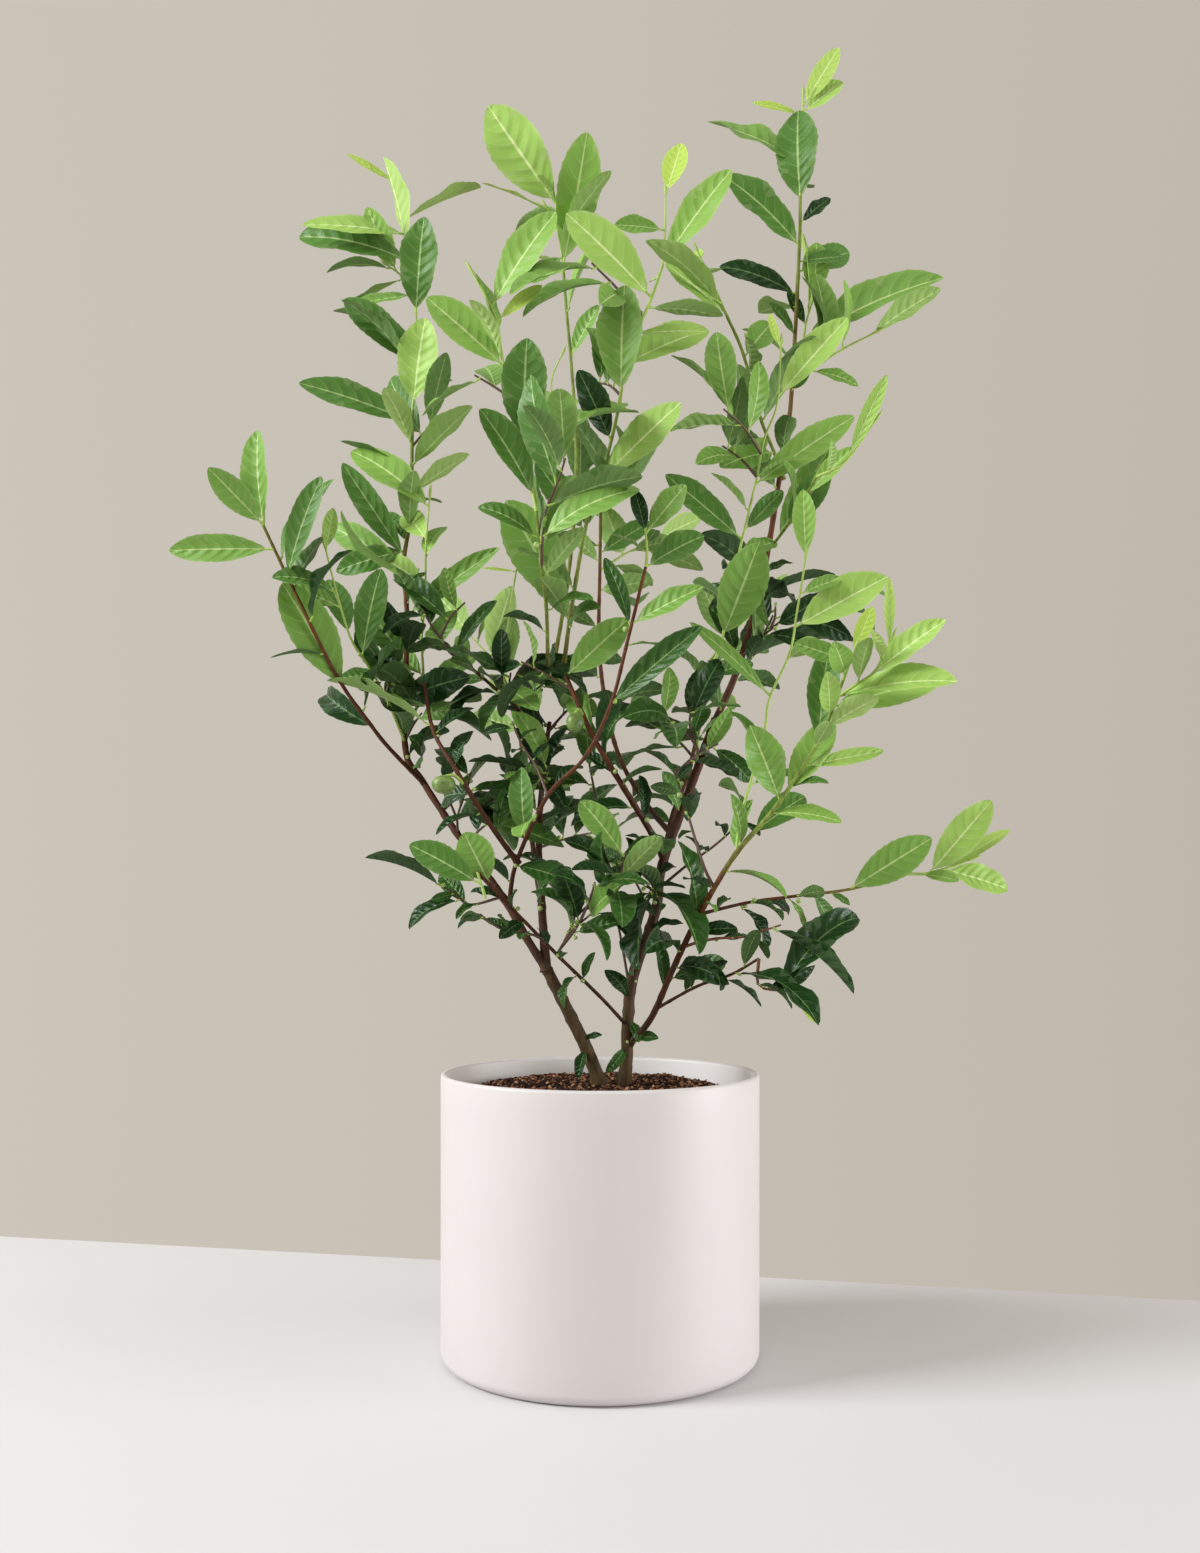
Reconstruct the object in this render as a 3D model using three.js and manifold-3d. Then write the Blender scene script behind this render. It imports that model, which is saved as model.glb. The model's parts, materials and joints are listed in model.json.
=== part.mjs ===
// A potted tea bush: two stems rise from one root in a plain straight-sided pot, fork into tapering
// boughs, and carry separate masses of foliage. Millimetres, +Z up. The origin is the centre of the
// pot's flat underside, +X is to the right and +Y to the back of the bush as it is shown.
import * as THREE from 'three';
import { mergeVertices } from 'three/addons/utils/BufferGeometryUtils.js';
import Module from 'manifold-3d';

// ---------------------------------------------------------------- driving sizes
const GAP = 0.35; // air between neighbouring pieces

const POT_DIAMETER = 250;
const POT_HEIGHT = 224.5;
const POT_WALL = 5;
const POT_FLOOR = 8;
const POT_FOOT_ROUND = 9; // radius of the rounded bottom edge
const POT_SEGMENTS = 32;
const ROUND_STEPS = 2; // chords in a quarter of a rounded edge

const MIX_EDGE_HEIGHT = 203; // potting mix where it meets the wall
const GROUND_HEIGHT = 214.5; // level crown of the potting mix, where the stems stand
const GROUND_RADIUS = 88;
const MIX_SWELL = 1; // how far the slope from the level ground to the wall stands proud of straight

const STATION_STEP = 40; // distance between the rings of a limb
const FEWEST_STEPS = 3;
const STOUT_RADIUS = 4; // limbs thicker than this are drawn with more sides
const STOUT_SIDES = 8;
const SLIM_SIDES = 5;
const FLARE_LENGTH = 9; // height over which the root flare dies away

const WELD = 1e-3; // points nearer than this are one point
const MASS_DETAIL = 2; // subdivision of each mass of foliage
const MASS_GAP = 1.2; // radial clearance between masses, GAP or more across a slanting face
const UNEVEN = 0.13; // how far a mass swells and sinks from an even egg shape
const HUMPS = 5; // how many radians of that wave fit in half a mass
const TIP_SHARPNESS = 0.2; // angular width, in radians, of the point drawn out to a tip

// ---------------------------------------------------------------- finishes
const finish = (color, roughness) => new THREE.MeshStandardMaterial({ color, roughness, metalness: 0 });
const finishes = {
  glaze: finish(0xe6dfdc, 0.35),
  mix: finish(0x3f261a, 0.95),
  bark: finish(0x5d4230, 0.85),
  red_bark: finish(0x7c4630, 0.7),
  old_leaf: finish(0x2e5a2f, 0.55),
  leaf: finish(0x4b8a3c, 0.5),
  young_leaf: finish(0x8cc152, 0.5),
};

// ---------------------------------------------------------------- limbs
// Each limb runs through a few waypoints [x, y, z] from its foot to its tip and tapers from radius
// `foot` to radius `tip`. `flare` is the extra radius at the root. `within` names the masses of
// foliage that the limb starts or ends in; every other mass is cut round it. Parents come before
// their branches.
const limbs = [
  { name: 'stem_left', foot: 5.9, tip: 5, flare: 3,
    way: [[3, 0, 204], [-4, 0, 226], [-14, -2, 250], [-30, -4, 282], [-44, -5, 310]] },
  { name: 'stem_right', foot: 5.5, tip: 3.2, flare: 3.5,
    way: [[17, 2, 204], [21, 1, 234], [22, 0, 266], [26, 2, 299], [44, 6, 351], [50, 8, 390],
      [73, 12, 452], [92, 16, 505]] },
  { name: 'leader_left', foot: 3.4, tip: 1.3,
    way: [[-41, -5, 304], [-57, -6, 329], [-73, -2, 357], [-112, 14, 410], [-143, 26, 456],
      [-158, 32, 486], [-158, 46, 587], [-162, 54, 636], [-157, 60, 684], [-157, 72, 770]] },
  { name: 'leader_right', foot: 2.9, tip: 1.3,
    way: [[88, 15, 494], [106, 20, 534], [119, 27, 572], [135, 36, 636], [151, 42, 734],
      [157, 45, 776], [164, 50, 898], [165, 52, 940]] },
  { name: 'bough_upright', foot: 3.7, tip: 1.7, within: ['foliage_centre'],
    way: [[-42, -5, 304], [-46, 4, 353], [-49, 20, 401], [-47, 32, 454], [-41, 36, 505]] },
  { name: 'bough_centre', foot: 2.8, tip: 1.6, within: ['foliage_centre'],
    way: [[50, 8, 396], [39, -4, 415], [6, -38, 465], [-8, -46, 489], [-26, -42, 530]] },
  { name: 'bough_inner', foot: 1.8, tip: 1.2, within: ['foliage_inner_right'],
    way: [[-72, -2, 355], [-64, -30, 389], [-39, -66, 437], [-11, -84, 464], [8, -92, 502],
      [19, -96, 543], [33, -98, 600]] },
  { name: 'bough_inner_left', foot: 2.2, tip: 1.3, within: ['foliage_left_low'],
    way: [[-63, -30, 388], [-86, -48, 421], [-110, -52, 460], [-128, -32, 490], [-138, -6, 530]] },
  { name: 'bough_cross', foot: 1.4, tip: 1.4, within: ['foliage_low_left'],
    way: [[22, 0, 260], [0, -22, 285], [-29, -34, 314], [-50, -44, 336], [-64, -56, 351],
      [-90, -82, 380]] },
  { name: 'bough_far_left', foot: 1.8, tip: 1.1, within: ['foliage_far_left'],
    way: [[-142, 25, 454], [-165, 6, 478], [-179, -6, 496], [-202, -34, 532], [-233, -52, 598],
      [-252, -60, 640]] },
  { name: 'bough_right', foot: 2.7, tip: 1.3, within: ['foliage_right_fan'],
    way: [[23, 0, 246], [40, -14, 268], [56, -32, 307], [73, -52, 345], [90, -74, 378],
      [103, -86, 398], [128, -98, 428], [157, -108, 474], [172, -120, 515]] },
  { name: 'bough_low_right', foot: 1.3, tip: 1, within: ['foliage_low_right'],
    way: [[43, -17, 275], [73, -46, 294], [98, -62, 304], [118, -68, 316]] },
  { name: 'bough_far_right', foot: 1.3, tip: 1, within: ['foliage_far_right'],
    way: [[75, -54, 349], [113, -52, 358], [151, -46, 363], [191, -38, 368], [236, -30, 380]] },
  { name: 'bough_mid_left', foot: 1.6, tip: 1.2, within: ['foliage_left_low'],
    way: [[-47, 33, 460], [-61, 28, 506], [-89, 20, 534], [-120, 16, 558]] },
  { name: 'bough_back_left', foot: 2.4, tip: 1.4, within: ['foliage_back_left'],
    way: [[-46, 4, 354], [-54, 50, 394], [-62, 95, 447], [-71, 130, 511], [-76, 145, 548]] },
  { name: 'bough_back_right', foot: 2.4, tip: 1.4, within: ['foliage_back_right'],
    way: [[50, 8, 386], [59, 50, 427], [76, 95, 472], [92, 130, 537], [97, 142, 572]] },
  { name: 'bough_back_upper', foot: 2.3, tip: 1.3, within: ['foliage_back_upper'],
    way: [[57, 9, 412], [38, 54, 440], [14, 100, 490], [0, 130, 570], [0, 146, 660], [1, 150, 720]] },
  { name: 'bough_low_mid', foot: 1.4, tip: 1.1, within: ['foliage_low_mid'],
    way: [[46, 6, 360], [42, -20, 366], [36, -46, 370]] },
  { name: 'shoot_centre_top', foot: 1.7, tip: 1.2, within: ['foliage_centre', 'foliage_centre_top'],
    way: [[-38, 14, 540], [-24, 40, 640], [-20, 70, 745], [-30, 92, 880], [-33, 100, 930]] },
  { name: 'shoot_centre_upper', foot: 1.7, tip: 1.2,
    within: ['foliage_centre', 'foliage_centre_upper'],
    way: [[-28, -24, 540], [-22, -40, 580], [-10, -50, 645], [1, -55, 676], [15, -56, 735],
      [16, -50, 770]] },
  { name: 'shoot_front', foot: 1.5, tip: 1.2, within: ['foliage_centre', 'foliage_front'],
    way: [[-40, -30, 540], [-40, -60, 575], [-43, -84, 606], [-46, -98, 640]] },
  { name: 'shoot_inner_right', foot: 1.4, tip: 1.1, within: ['foliage_inner_right_top'],
    way: [[150, 41, 704], [140, 26, 722], [128, 14, 745], [113, 4, 793], [98, 2, 826], [84, 8, 860]] },
  { name: 'shoot_right', foot: 1.3, tip: 1.1, within: ['foliage_right_twig'],
    way: [[136, 37, 644], [142, 8, 648], [150, -36, 656], [160, -74, 672]] },
];

// ---------------------------------------------------------------- masses of foliage
// Each mass is an uneven egg about `at`, with half sizes `half`, leaning `lean` degrees to the
// right. Where it makes the outline of the crown, it is drawn out to a few leaf tips.
const masses = [
  { name: 'foliage_left_top', at: [-168, 84, 888], half: [34, 32, 64], lean: 4, leaf: 'young_leaf',
    tips: [[-257, 96, 926], [-213, 72, 978], [-183, 84, 988], [-102, 112, 980], [-229, 104, 866]] },
  { name: 'foliage_left_upper', at: [-165, 70, 782], half: [42, 38, 48], lean: -4, leaf: 'leaf',
    tips: [[-250, 60, 789], [-213, 48, 853], [-206, 58, 732]] },
  { name: 'foliage_left_mid', at: [-168, 54, 680], half: [44, 44, 46], lean: 12, leaf: 'leaf',
    tips: [[-225, 80, 675], [-211, 44, 718], [-108, 60, 730]] },
  { name: 'foliage_left_low', at: [-146, 20, 562], half: [50, 48, 62], lean: 20, leaf: 'old_leaf',
    tips: [[-81, 30, 645], [-196, 48, 525], [-96, 30, 521]] },
  { name: 'foliage_left_outer', at: [-210, -42, 588], half: [32, 30, 56], lean: 8, leaf: 'leaf',
    tips: [[-205, -28, 684], [-246, -56, 600]] },
  { name: 'foliage_far_left', at: [-260, -64, 652], half: [26, 28, 30], lean: -20, leaf: 'leaf',
    tips: [[-254, -68, 709], [-287, -84, 676], [-325, -52, 623]] },
  { name: 'foliage_inner_top', at: [-97, -64, 748], half: [34, 38, 58], lean: -8, leaf: 'leaf',
    tips: [[-128, -76, 804], [-95, -56, 832], [-43, -66, 817]] },
  { name: 'foliage_front', at: [-44, -106, 672], half: [36, 38, 72], lean: -3, leaf: 'leaf',
    tips: [[-52, -110, 761], [-84, -130, 696], [0, -96, 629]] },
  { name: 'foliage_centre_top', at: [-33, 104, 954], half: [32, 38, 56], lean: -6,
    leaf: 'young_leaf', tips: [[-95, 88, 1034], [-11, 116, 1021], [-75, 138, 931], [-104, 128, 984]] },
  { name: 'foliage_centre_upper', at: [8, -44, 790], half: [34, 42, 70], lean: 6, leaf: 'leaf',
    tips: [[-32, -80, 865], [84, -20, 802], [60, -68, 729]] },
  { name: 'foliage_inner_right_top', at: [68, 16, 888], half: [28, 34, 50], lean: 10,
    leaf: 'young_leaf', tips: [[65, 6, 960], [102, -20, 926], [97, 0, 820], [12, 44, 913]] },
  { name: 'foliage_right_top', at: [164, 54, 980], half: [28, 34, 56], lean: 6, leaf: 'young_leaf',
    tips: [[198, 58, 1066], [124, 40, 1010], [90, 76, 1014]] },
  { name: 'foliage_right_upper', at: [152, 54, 884], half: [34, 44, 48], lean: 0, leaf: 'leaf',
    tips: [[99, 36, 950], [212, 90, 910], [90, 92, 892]] },
  { name: 'foliage_right_crest', at: [180, 18, 820], half: [42, 40, 34], lean: 40, leaf: 'leaf',
    tips: [[269, 0, 842], [193, -24, 810], [117, 52, 830]] },
  { name: 'foliage_right_shoulder', at: [105, -30, 726], half: [42, 42, 44], lean: -24,
    leaf: 'leaf', tips: [[57, -50, 760], [29, -60, 724]] },
  { name: 'foliage_right_twig', at: [162, -88, 680], half: [28, 34, 40], lean: 32,
    leaf: 'young_leaf', tips: [[208, -96, 740], [184, -114, 674]] },
  { name: 'foliage_inner_right', at: [42, -92, 612], half: [40, 42, 48], lean: 0, leaf: 'leaf',
    tips: [[16, -80, 674], [84, -108, 588]] },
  { name: 'foliage_right_mid', at: [126, 16, 594], half: [48, 48, 50], lean: 0, leaf: 'old_leaf',
    tips: [[193, 44, 626], [82, 46, 660], [207, 30, 569]] },
  { name: 'foliage_right_fan', at: [178, -130, 530], half: [40, 34, 44], lean: 20,
    leaf: 'young_leaf', tips: [[199, -148, 582], [237, -154, 551], [244, -158, 508]] },
  { name: 'foliage_right_drop', at: [124, -86, 456], half: [46, 46, 46], lean: 10, leaf: 'leaf',
    tips: [[205, -100, 467], [174, -104, 415]] },
  { name: 'foliage_far_right', at: [250, -28, 391], half: [34, 22, 20], lean: 62,
    leaf: 'young_leaf', tips: [[299, -38, 436], [317, -24, 414], [318, -14, 368], [257, -30, 408]] },
  { name: 'foliage_low_right', at: [134, -66, 330], half: [50, 46, 30], lean: 0, leaf: 'old_leaf',
    tips: [[197, -40, 346], [184, -94, 291], [157, -104, 269]] },
  { name: 'foliage_low_mid', at: [8, -46, 368], half: [62, 42, 42], lean: 0, leaf: 'old_leaf',
    tips: [[73, -76, 319], [29, -74, 308]] },
  { name: 'foliage_low_left', at: [-96, -84, 372], half: [46, 38, 28], lean: 0, leaf: 'young_leaf',
    tips: [[-171, -92, 390], [-132, -72, 350], [-138, -90, 400], [-101, -96, 405]] },
  { name: 'foliage_centre_low', at: [-60, 8, 448], half: [74, 50, 40], lean: 0, leaf: 'old_leaf' },
  { name: 'foliage_centre', at: [-42, -4, 522], half: [46, 50, 50], lean: 6, leaf: 'old_leaf' },
  { name: 'foliage_mid_right', at: [66, -16, 500], half: [38, 44, 48], lean: 6, leaf: 'old_leaf' },
  { name: 'foliage_back_left', at: [-83, 164, 598], half: [60, 50, 74], lean: -8, leaf: 'leaf',
    tips: [[-154, 186, 645], [-75, 210, 690], [-104, 228, 561]] },
  { name: 'foliage_back_right', at: [94, 162, 608], half: [60, 50, 74], lean: 8, leaf: 'leaf',
    tips: [[171, 184, 659], [95, 208, 716], [124, 226, 574]] },
  { name: 'foliage_back_upper', at: [2, 152, 742], half: [50, 40, 58], lean: 0, leaf: 'leaf',
    tips: [[-37, 170, 814], [55, 186, 784], [9, 214, 738]] },
  { name: 'foliage_back_low', at: [6, 112, 440], half: [64, 44, 50], lean: 0, leaf: 'old_leaf',
    tips: [[-63, 150, 446], [78, 158, 431]] },
];

// ---------------------------------------------------------------- solids
const wasm = await Module();
wasm.setup();

// A closed geometry as a solid that can be joined and cut.
function solidOf(geometry) {
  const bare = new THREE.BufferGeometry();
  bare.setAttribute('position', geometry.getAttribute('position').clone());
  if (geometry.index) bare.setIndex(geometry.index.clone());
  const merged = mergeVertices(bare, WELD);
  const mesh = new wasm.Mesh({
    numProp: 3,
    vertProperties: new Float32Array(merged.attributes.position.array),
    triVerts: new Uint32Array(merged.index.array),
  });
  mesh.merge();
  return new wasm.Manifold(mesh);
}

// A solid as flat-shaded three.js geometry.
function geometryOf(solid) {
  const { vertProperties, triVerts } = solid.getMesh();
  const geometry = new THREE.BufferGeometry();
  geometry.setAttribute('position', new THREE.BufferAttribute(vertProperties, 3));
  geometry.setIndex(new THREE.BufferAttribute(triVerts, 1));
  const flat = geometry.toNonIndexed();
  flat.computeVertexNormals();
  return flat;
}

// What is left of a solid in one piece: cuts can leave crumbs beside it.
function largestPiece(solid) {
  const pieces = solid.decompose();
  return pieces.reduce((best, piece) => (piece.volume() > best.volume() ? piece : best));
}

// ---------------------------------------------------------------- pot and potting mix
// A quarter circle of profile points round (x, z), from one angle to another in degrees.
function roundedEdge(x, z, radius, fromDegrees, toDegrees) {
  return Array.from({ length: ROUND_STEPS + 1 }, (_, i) => {
    const angle = THREE.MathUtils.degToRad(THREE.MathUtils.lerp(fromDegrees, toDegrees, i / ROUND_STEPS));
    return new THREE.Vector2(x + radius * Math.cos(angle), z + radius * Math.sin(angle));
  });
}

// A profile of (radius, height) points turned about the vertical axis.
function turned(profile) {
  return new THREE.LatheGeometry(profile, POT_SEGMENTS).rotateX(Math.PI / 2);
}

function potGeometry() {
  const outer = POT_DIAMETER / 2;
  const lip = POT_WALL / 2;
  const inner = outer - POT_WALL;
  return turned([
    new THREE.Vector2(0, 0),
    ...roundedEdge(outer - POT_FOOT_ROUND, POT_FOOT_ROUND, POT_FOOT_ROUND, -90, 0),
    ...roundedEdge(outer - lip, POT_HEIGHT - lip, lip, 0, 180),
    new THREE.Vector2(inner, POT_FLOOR),
    new THREE.Vector2(0, POT_FLOOR),
  ]);
}

function mixGeometry() {
  const radius = POT_DIAMETER / 2 - POT_WALL - GAP;
  const halfWay = new THREE.Vector2(
    (radius + GROUND_RADIUS) / 2,
    (MIX_EDGE_HEIGHT + GROUND_HEIGHT) / 2 + MIX_SWELL,
  );
  return turned([
    new THREE.Vector2(0, POT_FLOOR + GAP),
    new THREE.Vector2(radius, POT_FLOOR + GAP),
    new THREE.Vector2(radius, MIX_EDGE_HEIGHT),
    halfWay,
    new THREE.Vector2(GROUND_RADIUS, GROUND_HEIGHT),
    new THREE.Vector2(0, GROUND_HEIGHT),
  ]);
}

// ---------------------------------------------------------------- limbs as solids
// A closed tapering tube along the limb's waypoints, `extra` thicker and longer at both ends.
function limbSolid({ way, foot, tip, flare = 0 }, extra = 0) {
  const curve = new THREE.CatmullRomCurve3(way.map((p) => new THREE.Vector3(...p)), false, 'centripetal');
  const length = curve.getLength();
  const steps = Math.max(FEWEST_STEPS, Math.round(length / STATION_STEP));
  const sides = foot > STOUT_RADIUS ? STOUT_SIDES : SLIM_SIDES;
  const frames = curve.computeFrenetFrames(steps, false);
  const points = [];
  for (let i = 0; i <= steps; i++) {
    const share = i / steps;
    const rootFlare = flare * Math.exp((-share * length) / FLARE_LENGTH);
    const radius = THREE.MathUtils.lerp(foot, tip, share) + rootFlare + extra;
    const overrun = extra * (i === steps ? 1 : i === 0 ? -1 : 0);
    const centre = curve.getPointAt(share).addScaledVector(frames.tangents[i], overrun);
    for (let k = 0; k < sides; k++) {
      const angle = (2 * Math.PI * k) / sides;
      points.push(centre.clone()
        .addScaledVector(frames.normals[i], radius * Math.cos(angle))
        .addScaledVector(frames.binormals[i], radius * Math.sin(angle)));
    }
  }
  const faces = [];
  for (let i = 0; i < steps; i++) {
    for (let k = 0; k < sides; k++) {
      const next = (k + 1) % sides;
      const [a, b] = [i * sides + k, i * sides + next];
      faces.push(a, b, b + sides, a, b + sides, a + sides);
    }
  }
  for (let k = 1; k < sides - 1; k++) {
    const last = steps * sides;
    faces.push(0, k + 1, k, last, last + k, last + k + 1);
  }
  return solidOf(new THREE.BufferGeometry().setFromPoints(points).setIndex(faces));
}

// Everything above the ground, so that the stems end in a flat cut there.
function aboveGround() {
  const size = 4 * POT_HEIGHT;
  const block = new THREE.BoxGeometry(size, size, size);
  return solidOf(block.translate(0, 0, GROUND_HEIGHT + GAP + size / 2));
}

// ---------------------------------------------------------------- foliage as solids
// An icosphere whose vertices lie on an uneven egg; the vertex nearest each tip is drawn out to it.
function massSolid({ at, half, lean, tips = [] }, seed, extra = 0) {
  const centre = new THREE.Vector3(...at);
  const tilt = new THREE.Matrix4().makeRotationY(THREE.MathUtils.degToRad(lean));
  const untilt = tilt.clone().invert();
  const egg = new THREE.Vector3(...half);
  const ball = mergeVertices(bareIcosphere(), WELD);
  const positions = ball.getAttribute('position');
  const directions = Array.from({ length: positions.count }, (_, i) =>
    new THREE.Vector3().fromBufferAttribute(positions, i).normalize());

  const eggRadius = (direction) => {
    const local = direction.clone().applyMatrix4(untilt).divide(egg);
    const swell = Math.sin(HUMPS * direction.x + seed) * Math.cos(HUMPS * direction.y - seed)
      + Math.sin(HUMPS * direction.z + seed) * Math.cos(HUMPS * direction.x - seed);
    return (1 + UNEVEN * swell) / local.length();
  };
  const reaches = tips.map((tip) => {
    const offset = new THREE.Vector3(...tip).sub(centre);
    const length = offset.length();
    const direction = offset.normalize();
    const nearest = directions.reduce((best, d, i) =>
      (d.dot(direction) > directions[best].dot(direction) ? i : best), 0);
    return { direction, length, nearest };
  });
  reaches.forEach(({ direction, nearest }) => directions[nearest].copy(direction));

  directions.forEach((direction, i) => {
    const base = eggRadius(direction);
    const pull = reaches.reduce((most, reach) => {
      const angle = direction.angleTo(reach.direction);
      return Math.max(most, (reach.length - base) * Math.exp(-((angle / TIP_SHARPNESS) ** 2)));
    }, 0);
    const point = direction.clone().multiplyScalar(base + pull + extra).add(centre);
    positions.setXYZ(i, point.x, point.y, point.z);
  });
  return solidOf(ball);
}

function bareIcosphere() {
  const ball = new THREE.IcosahedronGeometry(1, MASS_DETAIL);
  ball.deleteAttribute('normal');
  ball.deleteAttribute('uv');
  return ball;
}

// ---------------------------------------------------------------- assembly
const teaBush = new THREE.Group();

function addPart(name, geometry, material) {
  const mesh = new THREE.Mesh(geometry, material);
  mesh.name = name;
  teaBush.add(mesh);
}

addPart('pot', potGeometry(), finishes.glaze);
addPart('potting_mix', mixGeometry(), finishes.mix);

const ground = aboveGround();
const limbBodies = new Map();
const limbClearances = new Map();
for (const limb of limbs) {
  let body = limbSolid(limb).intersect(ground);
  for (const clearance of limbClearances.values()) body = body.subtract(clearance);
  limbBodies.set(limb.name, largestPiece(body));
  limbClearances.set(limb.name, limbSolid(limb, GAP));
}

const massClearances = new Map();
masses.forEach((mass, seed) => {
  let body = massSolid(mass, seed);
  for (const clearance of massClearances.values()) body = body.subtract(clearance);
  for (const limb of limbs) {
    if (!limb.within?.includes(mass.name)) body = body.subtract(limbClearances.get(limb.name));
  }
  addPart(mass.name, geometryOf(largestPiece(body)), finishes[mass.leaf]);
  massClearances.set(mass.name, massSolid(mass, seed, MASS_GAP));
});

for (const { name, within = [], foot } of limbs) {
  let body = limbBodies.get(name);
  for (const mass of within) body = body.subtract(massClearances.get(mass));
  addPart(name, geometryOf(largestPiece(body)), foot > STOUT_RADIUS ? finishes.bark : finishes.red_bark);
}

export default teaBush;
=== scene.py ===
# %% [markdown]
# # A potted tea bush
#
# A young tea bush grows from one root in a plain glazed pot. Two stems fork into thin boughs, and
# the boughs carry sprays of elliptic, toothed leaves, lime at the tips and dark near the middle.
# This lesson dresses the packed CAD model: the limbs get bark, the egg-shaped masses of foliage give
# way to shoots and leaves, and the pot and its potting mix get a fine surface.

# %% Load the fixed frame
import json
import math
import random

import bmesh
import bpy
import numpy as np
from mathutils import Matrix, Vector
from mathutils.bvhtree import BVHTree


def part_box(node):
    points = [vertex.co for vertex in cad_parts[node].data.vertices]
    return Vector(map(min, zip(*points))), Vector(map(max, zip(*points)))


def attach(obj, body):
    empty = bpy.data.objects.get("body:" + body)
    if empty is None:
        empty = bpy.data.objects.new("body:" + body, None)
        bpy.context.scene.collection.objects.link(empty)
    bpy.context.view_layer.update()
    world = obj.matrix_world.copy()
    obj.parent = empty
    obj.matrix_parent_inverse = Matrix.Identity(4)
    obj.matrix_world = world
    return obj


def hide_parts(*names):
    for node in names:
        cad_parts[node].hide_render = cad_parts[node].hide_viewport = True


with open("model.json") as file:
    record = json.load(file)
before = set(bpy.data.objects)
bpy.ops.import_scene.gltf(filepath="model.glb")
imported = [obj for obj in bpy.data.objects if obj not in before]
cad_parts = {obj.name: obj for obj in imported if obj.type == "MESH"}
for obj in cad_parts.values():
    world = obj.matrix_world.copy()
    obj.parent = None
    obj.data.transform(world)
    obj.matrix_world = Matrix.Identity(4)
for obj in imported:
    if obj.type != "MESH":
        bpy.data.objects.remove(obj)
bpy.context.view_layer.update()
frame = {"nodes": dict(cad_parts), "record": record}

MM = 0.001

# %% [markdown]
# ## Camera, light and stage
#
# The bush is seen from straight in front, level with the lower leaves. A level camera keeps upright
# lines upright, so it doesn't tilt up to hold the crown: the lens is shifted instead, as on a view
# camera. One large soft light stands high on the left, so that the pot's shadow falls softly to the
# right. A low strip on the right brightens the other side of the pot, and its middle stays darker. A
# weak top light and a weak front light open up the crown, and the pale world fills the rest.

# %% Camera and stage
CAMERA_PLACE = (0, -1.168, 0.3536)
LENS = 34.33
RISE = 0.08467

camera_data = bpy.data.cameras.new("camera")
camera_data.lens = LENS
camera_data.shift_y = RISE
camera = bpy.data.objects.new("camera", camera_data)
camera.location = CAMERA_PLACE
camera.rotation_euler = (math.pi / 2, 0, 0)
bpy.context.scene.collection.objects.link(camera)
bpy.context.scene.camera = camera
bpy.context.scene.view_settings.view_transform = "Standard"


def soft_light(name, place, target, width, height, power, colour):
    """An area light that looks from one place at another, and that the camera doesn't see."""
    data = bpy.data.lights.new(name, "AREA")
    data.shape = "RECTANGLE"
    data.size = width
    data.size_y = height
    data.energy = power
    data.color = colour
    lamp = bpy.data.objects.new(name, data)
    lamp.visible_camera = False
    lamp.location = place
    lamp.rotation_euler = (Vector(target) - Vector(place)).to_track_quat("-Z", "Y").to_euler()
    bpy.context.scene.collection.objects.link(lamp)


DAYLIGHT = (0.965, 0.98, 1)
soft_light("key", (-2.45, -0.74, 1.9), (0, 0, 0.5), 1.1, 1.2, 97, DAYLIGHT)
soft_light("right strip", (2.1, -0.5, 0.36), (0, 0, 0.3), 1.1, 0.6, 35, DAYLIGHT)
soft_light("top", (-0.1, -0.9, 2.4), (0, 0, 0.3), 1.2, 1.2, 7, DAYLIGHT)
soft_light("front", (0.4, -2.3, 1.5), (0, 0, 0.5), 1.0, 1.0, 1, DAYLIGHT)
print("camera at", CAMERA_PLACE, "lens", LENS)

# %% [markdown]
# ## Writing node trees as expressions
#
# A node tree is a formula drawn as boxes. `Wire` wraps one output socket and gives it Python's
# operators, so that `1 - mask * 0.5` adds its own Math nodes. `Graph.node` adds any other node from
# its type, its settings and the values or links of its sockets. Both work for shader trees and for
# geometry trees, because the two share the Math and Vector Math nodes.

# %% Wire
class Wire:
    """One output socket that can be used in an expression."""

    def __init__(self, graph, socket):
        self.graph = graph
        self.socket = socket

    def __add__(self, other):
        return self.graph.maths("ADD", self, other)

    def __radd__(self, other):
        return self.graph.maths("ADD", other, self)

    def __sub__(self, other):
        return self.graph.maths("SUBTRACT", self, other)

    def __rsub__(self, other):
        return self.graph.maths("SUBTRACT", other, self)

    def __mul__(self, other):
        return self.graph.maths("MULTIPLY", self, other)

    def __rmul__(self, other):
        return self.graph.maths("MULTIPLY", other, self)

    def __truediv__(self, other):
        return self.graph.maths("DIVIDE", self, other)

    def __pow__(self, other):
        return self.graph.maths("POWER", self, other)

    def __neg__(self):
        return self.graph.maths("MULTIPLY", self, -1)

    def __abs__(self):
        return self.graph.maths("ABSOLUTE", self)


def is_vector(term):
    """Whether a term is a place or direction, and not a plain number."""
    if isinstance(term, Wire):
        return term.socket.type in {"VECTOR", "RGBA"}
    return not isinstance(term, (int, float))


print("reflected operators:", sorted(name for name in vars(Wire) if name.startswith("__r")))

# %% Graph
class Outputs:
    """The output sockets of a node, by name or by number."""

    def __init__(self, graph, made):
        self.graph = graph
        self.made = made

    def __getitem__(self, key):
        if isinstance(key, int):
            return Wire(self.graph, self.made.outputs[key])
        return Wire(self.graph, next(s for s in self.made.outputs if s.name == key and s.enabled))


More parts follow.
